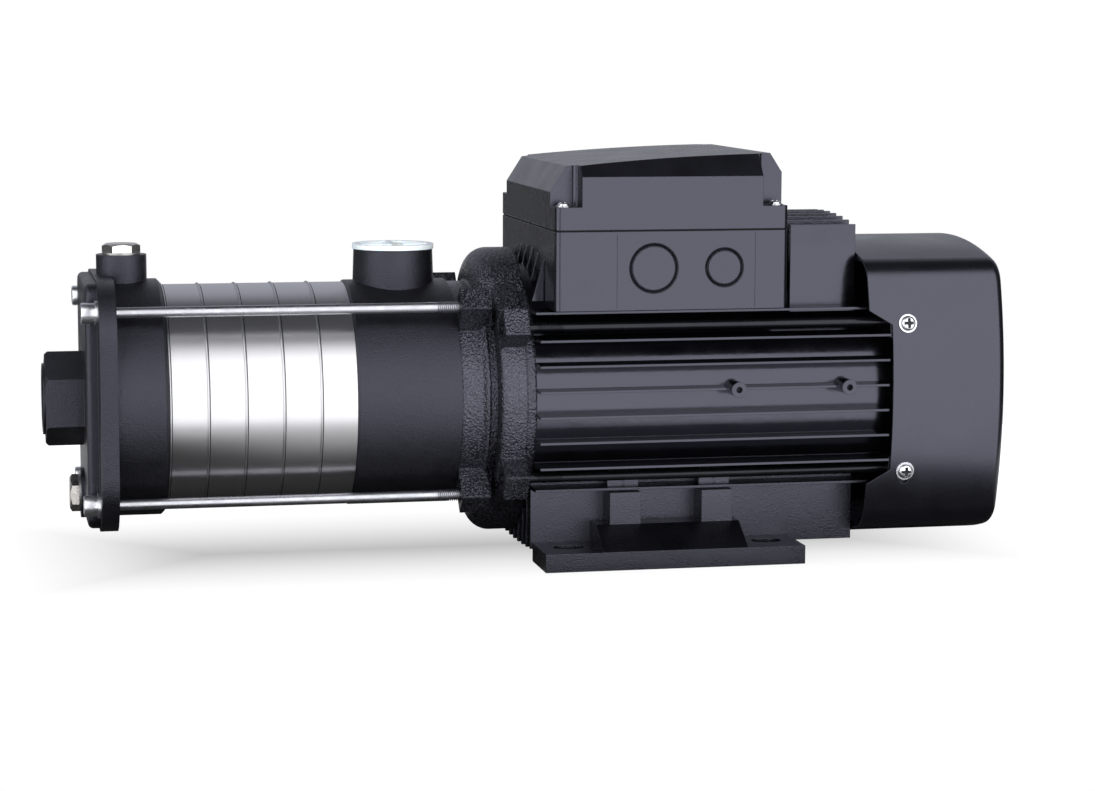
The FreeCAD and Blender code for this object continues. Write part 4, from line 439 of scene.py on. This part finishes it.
def addThread(shape, bottom, top, root, crest, pitch, count=24):
    # a closed helical ridge that stands on a plain shank
    steps = int((top - bottom) / pitch * count)
    rings = []
    for step in range(steps + 1):
        z = bottom + (top - bottom) * step / steps
        height = (crest - root) * min(1, step / count / fadeTurns, (steps - step) / count / fadeTurns)
        reaches = [root + height * share for share, shift in threadSection]
        turns = [2 * math.pi * step / count] * len(threadSection)
        heights = [z + shift * pitch for share, shift in threadSection]
        rings.append(addRing(shape, reaches, turns, heights))
    for near, far in zip(rings, rings[1:]):
        addBand(shape, near, far)
    shape.faces.new(rings[0])
    shape.faces.new(list(reversed(rings[-1])))


# cross recess, in mm: its floor is shallower by the share called rise at the ends of the arms
recess = {"width": 1.3, "reach": 2.3, "depth": 1.2, "rise": 0.5}
crownPower = 4  # 2 would be a ball; more is flatter, with a tighter rim


def inRecess(x, y):
    return min(abs(x), abs(y)) < recess["width"] / 2 and max(abs(x), abs(y)) < recess["reach"]


def addPanHead(shape, bottom, radius, height, count=64, rows=15):
    # a polar net of heights on a flat disc; the recess takes the piece's second material, which paints the
    # shade in it
    addLathe(shape, [(bottom, 0), (bottom, radius)], count)
    turns = [2 * math.pi * i / count for i in range(count)]
    rings = []
    for row in range(rows):
        r = radius * (1 - row / rows)
        dome = bottom + height * (1 - (r / radius) ** crownPower) ** 0.5
        heights = []
        for t in turns:
            x, y = r * math.cos(t), r * math.sin(t)
            rise = recess["rise"] * max(abs(x), abs(y)) / recess["reach"]
            heights.append(dome - recess["depth"] * (1 - rise) if inRecess(x, y) else dome)
        rings.append(addRing(shape, [r] * count, turns, heights))
    centre = shape.verts.new((0, 0, bottom + height - recess["depth"]))
    for low, high in zip(rings, rings[1:]):
        for face in addBand(shape, low, high):
            x, y, z = face.calc_center_median()
            face.material_index = int(inRecess(x, y))
    for i in range(count):
        face = shape.faces.new((rings[-1][i], rings[-1][(i + 1) % count], centre))
        face.material_index = 1


def standing(shape, place, direction, start=0):
    # move the form's points from index start on: +Z goes along direction, the origin to place (mm)
    turn = Vector(upward).rotation_difference(Vector(direction).normalized()).to_matrix().to_4x4()
    matrix = Matrix.Translation(Vector(place)) @ turn
    shape.verts.ensure_lookup_table()
    for vertex in shape.verts[start:]:
        vertex.co = matrix @ vertex.co


def finishPiece(name, shape, finish, body="pump_and_motor", sharp=35, second=None):
    # sharp is in degrees: a steeper edge stays crisp
    bmesh.ops.remove_doubles(shape, verts=shape.verts, dist=0.0005)
    bmesh.ops.recalc_face_normals(shape, faces=shape.faces)
    for vertex in shape.verts:
        vertex.co *= mm
    mesh = bpy.data.meshes.new(name)
    shape.to_mesh(mesh)
    shape.free()
    mesh.shade_smooth()
    mesh.set_sharp_from_angle(angle=math.radians(sharp))
    piece = bpy.data.objects.new(name, mesh)
    bpy.context.scene.collection.objects.link(piece)
    mesh.materials.append(materials[finish])
    if second:
        mesh.materials.append(materials[second])
    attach(piece, body)
    return piece


fourCorners = [(-1, -1), (-1, 1), (1, -1), (1, 1)]


# sleeves: a bead is rolled round the front edge of each, with a thin dark ring behind it, a painted shadow of
# the seam
sleeve = {
    "front": -242,  # mm along the shaft, the first sleeve's front edge
    "pitch": 18,
    "count": 5,
    "radius": 55,
    "facets": 160,
    # mm behind the front edge, and mm out from the sleeve
    "bead": [(0.1, -0.1), (0.2, 0.34), (0.45, 0.62), (0.8, 0.64), (1.1, 0.4), (1.25, -0.1)],
    # a dark rubber ring a hair proud of the sleeve: painted shadow in the seam
    "seamShade": [(1.25, -0.1), (1.25, 0.05), (1.55, 0.05), (1.55, -0.1)],
}
for i in range(sleeve["count"]):
    for word, finish in (("bead", "pressedStainless"), ("seamShade", "nitrileRubber")):
        shape = bmesh.new()
        profile = [(x, sleeve["radius"] + lift) for x, lift in sleeve[word]]
        addLathe(shape, profile + [profile[0]], sleeve["facets"])
        standing(shape, (sleeve["front"] + sleeve["pitch"] * i, 0, shaftHeight), alongShaft)
        finishPiece(f"sleeve_{word}_{i + 1}", shape, finish, sharp=60)
print("sleeve beads rolled")


# tie bolts: socket head, plain rod and a rolled thread that ends in the bracket's lugs
tieBolt = {
    "spread": 46,                       # mm from the shaft line, sideways and up
    "front": -282.4, "rear": -90,       # mm along the shaft, head and hidden end
    "threadStart": -112.5, "lug": -101,
    "head": 5, "headEnd": 6.6,
    "rim": [(0, -0.7), (0.2, -0.25), (0.7, 0)],  # the head's rounded edge: mm behind its face, mm of radius
    "socket": 2.9, "socketDepth": 3.2, "flare": (0.3, 0.45),
    "rod": 2.6, "runout": 0.6, "root": 2.42, "crest": 3.0, "pitch": 1.0,
}
threadFrom = tieBolt["threadStart"] - tieBolt["front"]
threadTo = tieBolt["lug"] - tieBolt["front"]
rodEnd = tieBolt["rear"] - tieBolt["front"]
flareDepth, flareWidth = tieBolt["flare"]
tieBoltProfile = [
    (tieBolt["socketDepth"], 0), (tieBolt["socketDepth"], tieBolt["socket"], "hex"),
    (flareDepth, tieBolt["socket"], "hex"), (0, tieBolt["socket"] + flareWidth),
    *((z, tieBolt["head"] + change) for z, change in tieBolt["rim"]),
    (tieBolt["headEnd"], tieBolt["head"]), (tieBolt["headEnd"], tieBolt["rod"]),
    (threadFrom - tieBolt["runout"], tieBolt["rod"]), (threadFrom, tieBolt["root"]),
    (rodEnd, tieBolt["root"]), (rodEnd, 0),
]
shape = bmesh.new()
for sideY, sideZ in fourCorners:
    start = len(shape.verts)
    startFace = len(shape.faces)
    addLathe(shape, tieBoltProfile)
    shape.faces.ensure_lookup_table()
    for face in shape.faces[startFace:]:  # the head takes the piece's second material, a lighter zinc than the rod's, as a painted highlight
        face.material_index = int(face.calc_center_median().z <= tieBolt["headEnd"])
    addThread(shape, threadFrom, threadTo, tieBolt["root"], tieBolt["crest"], tieBolt["pitch"])
    place = (tieBolt["front"], sideY * tieBolt["spread"], shaftHeight + sideZ * tieBolt["spread"])
    standing(shape, place, alongShaft, start)
piece = finishPiece("tie_bolts_rolled", shape, "drawnZinc", second="brightZinc")
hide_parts("tie_bolts")

# through bolts: thread behind the bracket's lugs
studThread = {
    "offsetY": 60, "offsetZ": 36.6,  # mm from the shaft line
    "start": -66, "length": 13.5, "root": 2.35, "crest": 2.7, "pitch": 0.8,
}
shape = bmesh.new()
for sideY, sideZ in fourCorners:
    start = len(shape.verts)
    addThread(shape, 0, studThread["length"], studThread["root"], studThread["crest"], studThread["pitch"])
    place = (studThread["start"], sideY * studThread["offsetY"], shaftHeight + sideZ * studThread["offsetZ"])
    standing(shape, place, alongShaft, start)
finishPiece("through_bolt_threads", shape, "blackOxide")
print("threads cut")


# plugs: chamfered hexagon head on a threaded shank
plug = {
    "corner": 9.3, "height": 4.3, "chamfer": 1.1,
    "shank": 5.25, "reach": 9, "lead": 0.6, "bite": 0.1,  # bite is the shank's overlap with the head
    "crest": 5.67, "pitch": 1.337, "fromTip": 1.2, "fromSeat": 1.6,
}
plugPlaces = {
    "priming_plug": {"body": "priming_plug", "point": (-260.2, 0, 151.2), "way": upward},
    "drain_plug": {"body": "drain_plug", "point": (-282.8, 0, 33.2), "way": (-1, 0, 0)},
}
plugProfile = [
    (-plug["reach"], 0), (-plug["reach"], plug["shank"] - plug["lead"]),
    (-plug["reach"] + plug["lead"], plug["shank"]), (plug["bite"], plug["shank"]),
]
for name, spot in plugPlaces.items():
    shape = bmesh.new()
    addHexHead(shape, 0, plug["height"], plug["corner"], plug["chamfer"])
    addLathe(shape, plugProfile)
    addThread(shape, -plug["reach"] + plug["fromTip"], -plug["fromSeat"], plug["shank"], plug["crest"],
              plug["pitch"])
    standing(shape, spot["point"], spot["way"])
    piece = finishPiece(name + "_turned", shape, "machinedStainless", spot["body"], sharp=28)
    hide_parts(name)
print("plugs turned")


# cover screws: they stand square on the cover's curved sides, each on its washer
coverScrew = {
    "x": 118.2, "half": 75.1, "offsetZ": 36.6,
    "crown": 215,  # radius of the cover's sides
    "washer": 0.8, "radius": 3.8, "height": 2.2,
    "shank": 2, "reach": 6.5, "fromSeat": 1.2, "threadDepth": 0.1, "pitch": 0.8,
}
tilt = math.asin(coverScrew["offsetZ"] / coverScrew["crown"])
fall = coverScrew["crown"] * (1 - math.cos(tilt))
tip = -coverScrew["reach"] - coverScrew["washer"]
shape = bmesh.new()
for sideY, sideZ in fourCorners:
    start = len(shape.verts)
    addPanHead(shape, 0, coverScrew["radius"], coverScrew["height"])
    addLathe(shape, [(tip, 0), (tip, coverScrew["shank"]), (0, coverScrew["shank"])])
    addThread(shape, -coverScrew["reach"], -coverScrew["fromSeat"],
              coverScrew["shank"] - coverScrew["threadDepth"], coverScrew["shank"], coverScrew["pitch"])
    way = Vector((0, sideY * math.cos(tilt), sideZ * math.sin(tilt)))
    seat = Vector((coverScrew["x"], sideY * (coverScrew["half"] - fall),
                   shaftHeight + sideZ * coverScrew["offsetZ"]))
    standing(shape, seat + way * coverScrew["washer"], way, start)
# the recesses take a dark second material: painted shade
piece = finishPiece("cover_screws_turned", shape, "brightZinc",
                    second="shadedRecessZinc")
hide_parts("fan_cover_screws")

# lid screws: a flange is pressed under each head, and the shank goes down through the lid
lidScrew = {
    "x": 53, "y": 61, "floor": 174.9,
    "flange": 3.6, "thick": 0.6, "rimHeight": 0.15, "rimWidth": 0.2,
    "radius": 2.9, "height": 1.6,
    "shank": 2, "reach": 24, "tip": 1, "bite": 0.1, "threadTo": 8, "threadDepth": 0.2, "pitch": 1.2,
}
flangeProfile = [
    (0, 0), (0, lidScrew["flange"]), (lidScrew["thick"] - lidScrew["rimHeight"], lidScrew["flange"]),
    (lidScrew["thick"], lidScrew["flange"] - lidScrew["rimWidth"]), (lidScrew["thick"], 0),
]
tipEnd = -lidScrew["reach"] + lidScrew["tip"]
shankProfile = [(-lidScrew["reach"], 0), (tipEnd, lidScrew["shank"]), (lidScrew["bite"], lidScrew["shank"])]
shape = bmesh.new()
for sideX, sideY in fourCorners:
    start = len(shape.verts)
    addLathe(shape, flangeProfile)
    addPanHead(shape, lidScrew["thick"], lidScrew["radius"], lidScrew["height"])
    addLathe(shape, shankProfile)
    addThread(shape, tipEnd, -lidScrew["threadTo"], lidScrew["shank"] - lidScrew["threadDepth"],
              lidScrew["shank"], lidScrew["pitch"])
    standing(shape, (sideX * lidScrew["x"], sideY * lidScrew["y"], lidScrew["floor"]), upward, start)
# the recesses take a dark second material: painted shade
piece = finishPiece("lid_screws_turned", shape, "brightZinc", "terminal_box_lid",
                    second="shadedRecessZinc")
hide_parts("lid_screws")

# knock-outs: the breakable web is moulded as a V round each disc
knockout = {
    "places": [(-9.4, 12.3), (25.9, 9.75)],  # mm along the shaft, and the disc's radius
    "height": 145.2, "face": 67.3, "wide": 1.75, "floor": 1.46, "rise": 0.85, "skin": 0.02, "facets": 96,
}
low = -knockout["floor"]
top = low + knockout["rise"]
shape = bmesh.new()
for x, radius in knockout["places"]:
    start = len(shape.verts)
    inner = radius - knockout["wide"]
    middle = radius - knockout["wide"] / 2
    profile = [(top, inner), (low, middle), (top, radius), (low, radius), (low - knockout["skin"], middle),
               (low, inner), (top, inner)]
    addLathe(shape, profile, knockout["facets"])
    standing(shape, (x, -knockout["face"], knockout["height"]), nearSide, start)
finishPiece("knockout_webs", shape, "mouldedNylon")

# mould witness lines on both long sides of the terminal box, left by the slides of its mould
witness = {"places": (-27.7, 41.3), "side": 67.3, "low": 126, "high": 162, "wide": 0.35, "proud": 0.12,
           "root": 0.05}
section = [(-witness["wide"] / 2, -witness["root"]), (-witness["wide"] / 4, witness["proud"]),
           (witness["wide"] / 4, witness["proud"]), (witness["wide"] / 2, -witness["root"])]
shape = bmesh.new()
for sideY in (-1, 1):
    for x in witness["places"]:
        ends = [[shape.verts.new((x + across, sideY * (witness["side"] + lift), z)) for across, lift in section]
                for z in (witness["low"], witness["high"])]
        addBand(shape, *ends)
        shape.faces.new(ends[1])
        shape.faces.new(list(reversed(ends[0])))
finishPiece("box_mould_lines", shape, "mouldedNylon")

# hexagon nuts hold the links down on the terminal studs
stud = {
    "pitch": 14, "offset": 7, "link": 160.1,  # mm between studs, off the shaft line, and up to the links
    "corner": 4.0, "height": 3.2, "chamfer": 0.6,
    "threadReach": 4.6, "root": 1.95, "crest": 2.2, "threadPitch": 0.7,
}
shape = bmesh.new()
for step in (-1, 0, 1):
    for sideY in (-1, 1):
        start = len(shape.verts)
        addHexHead(shape, 0, stud["height"], stud["corner"], stud["chamfer"])
        addThread(shape, stud["height"], stud["height"] + stud["threadReach"], stud["root"], stud["crest"],
                  stud["threadPitch"])
        standing(shape, (step * stud["pitch"], sideY * stud["offset"], stud["link"]), upward, start)
finishPiece("terminal_nuts", shape, "turnedBrass")
print("screws and nuts made")


# studio: two tall softboxes before the object, left and right, whose upper ends are dimmer
studio = {
    "middle": Vector((-0.06, 0, 0.1)),
    "boxes": [
        {"azimuth": -58, "away": 1.0, "wide": 1.1, "low": -0.32, "high": 1.15, "strength": 2.5},
        {"azimuth": -58, "away": 1.0, "wide": 1.1, "low": 1.15, "high": 1.6, "strength": 1.5},
        {"azimuth": 22, "away": 0.85, "wide": 1.3, "low": -0.32, "high": 0.98, "strength": 2.5},
        {"azimuth": 22, "away": 0.85, "wide": 1.3, "low": 0.98, "high": 1.36, "strength": 1.5},
    ],
    "world": {
        "colour": "#f0f3ff", "low": 0.07, "wall": 0.5,
        "wallAhead": (0.3, 0.75), "wallAbove": (0.0, 0.16),  # parts of a direction where the wall fades in
        # the piece of backdrop behind the object that metal mirrors as white
        "backdropAhead": (0.0, 0.1), "backdropLeft": (-0.14, -0.05), "backdropRight": (0.6, 0.51),
        "backdropBottom": (-0.3, -0.27), "backdropTop": (0.05, 0.02),
    },
    "floor": {
        "middle": (-0.065, 0.0, 0.0), "reach": (0.55, 0.34), "back": 0.14, "facets": 96,
        "half": (0.23, 0.075, 0.0),                      # half the object's footprint, in metres
        "colour": "#c8c8c8", "shade": "#4c4c4c",
        "seen": (-0.2, 0.05), "mirrored": (0.05, 0.13),  # distances from the footprint where it turns white
        "mirror": 0.6,
        "footAside": (0.16, 0.12), "footShift": 0.07,
    },
}


def addSoftbox(number, middle, azimuth, away, wide, low, high, strength):
    turn = math.radians(azimuth)
    place = Vector((middle.x + away * math.sin(turn), -away * math.cos(turn), (low + high) / 2))
    data = bpy.data.lights.new(f"softbox{number}", "AREA")
    data.shape = "RECTANGLE"
    data.size = wide
    data.size_y = high - low
    data.energy = strength * math.pi * wide * (high - low)  # radiance times pi times area is the lamp's power
    lamp = bpy.data.objects.new(f"softbox{number}", data)
    bpy.context.scene.collection.objects.link(lamp)
    level = Vector((middle.x, middle.y, place.z))
    aim = (level - place).to_track_quat("-Z", "Y").to_matrix().to_4x4()
    lamp.matrix_world = Matrix.Translation(place) @ aim
    lamp.visible_camera = False


for number, box in enumerate(studio["boxes"]):
    addSoftbox(number, studio["middle"], **box)


def softZone(tree, limits, share=None):
    # 1 well inside all the limits and 0 outside any; a limit is a source with its outer and inner value
    for source, outer, inner in limits:
        step = addNode(tree, "ShaderNodeMapRange",
                       {"interpolation_type": "SMOOTHSTEP", "From Min": outer, "From Max": inner},
                       {"Value": source}).outputs[0]
        if share:
            step = addNode(tree, "ShaderNodeMath", {"operation": "MULTIPLY"}, {0: share, 1: step}).outputs[0]
        share = step
    return share


def backdropRays(tree):
    # reflections and see-through parts show the same backdrop as the camera
    rays = addNode(tree, "ShaderNodeLightPath")
    mirrored = addNode(tree, "ShaderNodeMath", {"operation": "MAXIMUM"},
                       {0: rays.outputs["Is Glossy Ray"], 1: rays.outputs["Is Transmission Ray"]}).outputs[0]
    return rays.outputs["Is Camera Ray"], mirrored


# world: a pale wall behind the object, dark above and at the sides, and white where the camera looks
def addWorld(settings):
    world = bpy.data.worlds.new("studio")
    bpy.context.scene.world = world
    world.use_nodes = True
    tree = world.node_tree
    tree.nodes.clear()
    way = addNode(tree, "ShaderNodeTexCoord").outputs["Generated"]
    parts = addNode(tree, "ShaderNodeSeparateXYZ", links={0: way})
    across, ahead, above = (parts.outputs[key] for key in ("X", "Y", "Z"))
    wall = softZone(tree, [(ahead, *settings["wallAhead"]), (above, *settings["wallAbove"])])
    lit = addNode(tree, "ShaderNodeMath", {
        "operation": "MULTIPLY_ADD", 1: settings["wall"], 2: settings["low"]}, {0: wall}).outputs[0]
    slant = addNode(tree, "ShaderNodeMath", {"operation": "DIVIDE"}, {0: across, 1: ahead}).outputs[0]
    direct, mirrored = backdropRays(tree)
    behind = softZone(tree, [
        (ahead, *settings["backdropAhead"]),
        (slant, *settings["backdropLeft"]), (slant, *settings["backdropRight"]),
        (above, *settings["backdropBottom"]), (above, *settings["backdropTop"])], mirrored)
    white = addNode(tree, "ShaderNodeMath", {"operation": "MAXIMUM"}, {0: direct, 1: behind}).outputs[0]
    strength = addNode(tree, "ShaderNodeMath", {"operation": "MAXIMUM"}, {0: lit, 1: white}).outputs[0]
    tone = addNode(tree, "ShaderNodeMix", {
        "data_type": "RGBA", 6: hexColour(settings["colour"]), 7: (1, 1, 1, 1)}, {0: white}).outputs[2]
    glow = addNode(tree, "ShaderNodeBackground", links={"Color": tone, "Strength": strength})
    addNode(tree, "ShaderNodeOutputWorld", links={"Surface": glow.outputs[0]})


addWorld(studio["world"])


def footprintDistance(tree, offset, half):
    # metres beyond the object's footprint, and negative inside it
    beyond = addNode(tree, "ShaderNodeVectorMath", {"operation": "SUBTRACT", 1: half}, {0: offset}).outputs[0]
    outside = addNode(tree, "ShaderNodeVectorMath", {"operation": "MAXIMUM", 1: (0, 0, 0)},
                      {0: beyond}).outputs[0]
    away = addNode(tree, "ShaderNodeVectorMath", {"operation": "LENGTH"}, {0: outside}).outputs["Value"]
    parts = addNode(tree, "ShaderNodeSeparateXYZ", links={0: beyond})
    deepest = addNode(tree, "ShaderNodeMath", {"operation": "MAXIMUM"},
                      {0: parts.outputs["X"], 1: parts.outputs["Y"]}).outputs[0]
    under = addNode(tree, "ShaderNodeMath", {"operation": "MINIMUM", 1: 0.0}, {0: deepest}).outputs[0]
    return addNode(tree, "ShaderNodeMath", {"operation": "ADD"}, {0: away, 1: under}).outputs[0]


# floor: a pale oval sheet, with a painted shadow that darkens its colour close round the foot, where the
# object's shadow lies
def addFloor(settings):
    shape = bmesh.new()
    bmesh.ops.create_circle(shape, cap_ends=True, segments=settings["facets"], radius=1)
    middle, reach = settings["middle"], settings["reach"]
    for vertex in shape.verts:
        vertex.co = (middle[0] + vertex.co.x * reach[0], settings["back"] + vertex.co.y * reach[1], 0)
    mesh = bpy.data.meshes.new("floor")
    shape.to_mesh(mesh)
    shape.free()
    floor = bpy.data.objects.new("floor", mesh)
    bpy.context.scene.collection.objects.link(floor)
    material, tree = newMaterial("paleFloor")
    place = addNode(tree, "ShaderNodeNewGeometry").outputs["Position"]
    offset = addNode(tree, "ShaderNodeVectorMath", {"operation": "SUBTRACT", 1: middle},
                     {0: place}).outputs[0]
    folded = addNode(tree, "ShaderNodeVectorMath", {"operation": "ABSOLUTE"}, {0: offset}).outputs[0]
    distance = footprintDistance(tree, folded, settings["half"])
    direct, mirrored = backdropRays(tree)
    seen = softZone(tree, [(distance, *settings["seen"])], direct)
    # a reflection looks down at the floor more steeply; there the floor's glow starts farther out from the
    # object, a painted shadow, but before the foot it starts nearer, a painted light for the foot to mirror
    across = addNode(tree, "ShaderNodeSeparateXYZ", links={0: folded}).outputs["X"]
    beforeFoot = softZone(tree, [(across, *settings["footAside"])])
    shifted = addNode(tree, "ShaderNodeMath", {"operation": "MULTIPLY_ADD", 1: settings["footShift"]},
                      {0: beforeFoot, 2: distance}).outputs[0]
    reflected = softZone(tree, [(shifted, *settings["mirrored"])], mirrored)
    strength = addNode(tree, "ShaderNodeMath", {"operation": "MULTIPLY_ADD", 1: settings["mirror"]},
                       {0: reflected, 2: seen}).outputs[0]
    light = addNode(tree, "ShaderNodeEmission", {"Color": (1, 1, 1, 1)}, {"Strength": strength})
    # the colour turns to the shade colour near the footprint: a painted shadow
    unshaded = softZone(tree, [(distance, *settings["mirrored"])])
    tone = addNode(tree, "ShaderNodeMix", {
        "data_type": "RGBA", 6: hexColour(settings["shade"]), 7: hexColour(settings["colour"])},
        {0: unshaded}).outputs[2]
    matt = addNode(tree, "ShaderNodeBsdfDiffuse", links={"Color": tone})
    both = addNode(tree, "ShaderNodeAddShader", {}, {0: matt.outputs[0], 1: light.outputs[0]})
    addNode(tree, "ShaderNodeOutputMaterial", links={"Surface": both.outputs[0]})
    mesh.materials.append(material)


addFloor(studio["floor"])
print("studio ready")
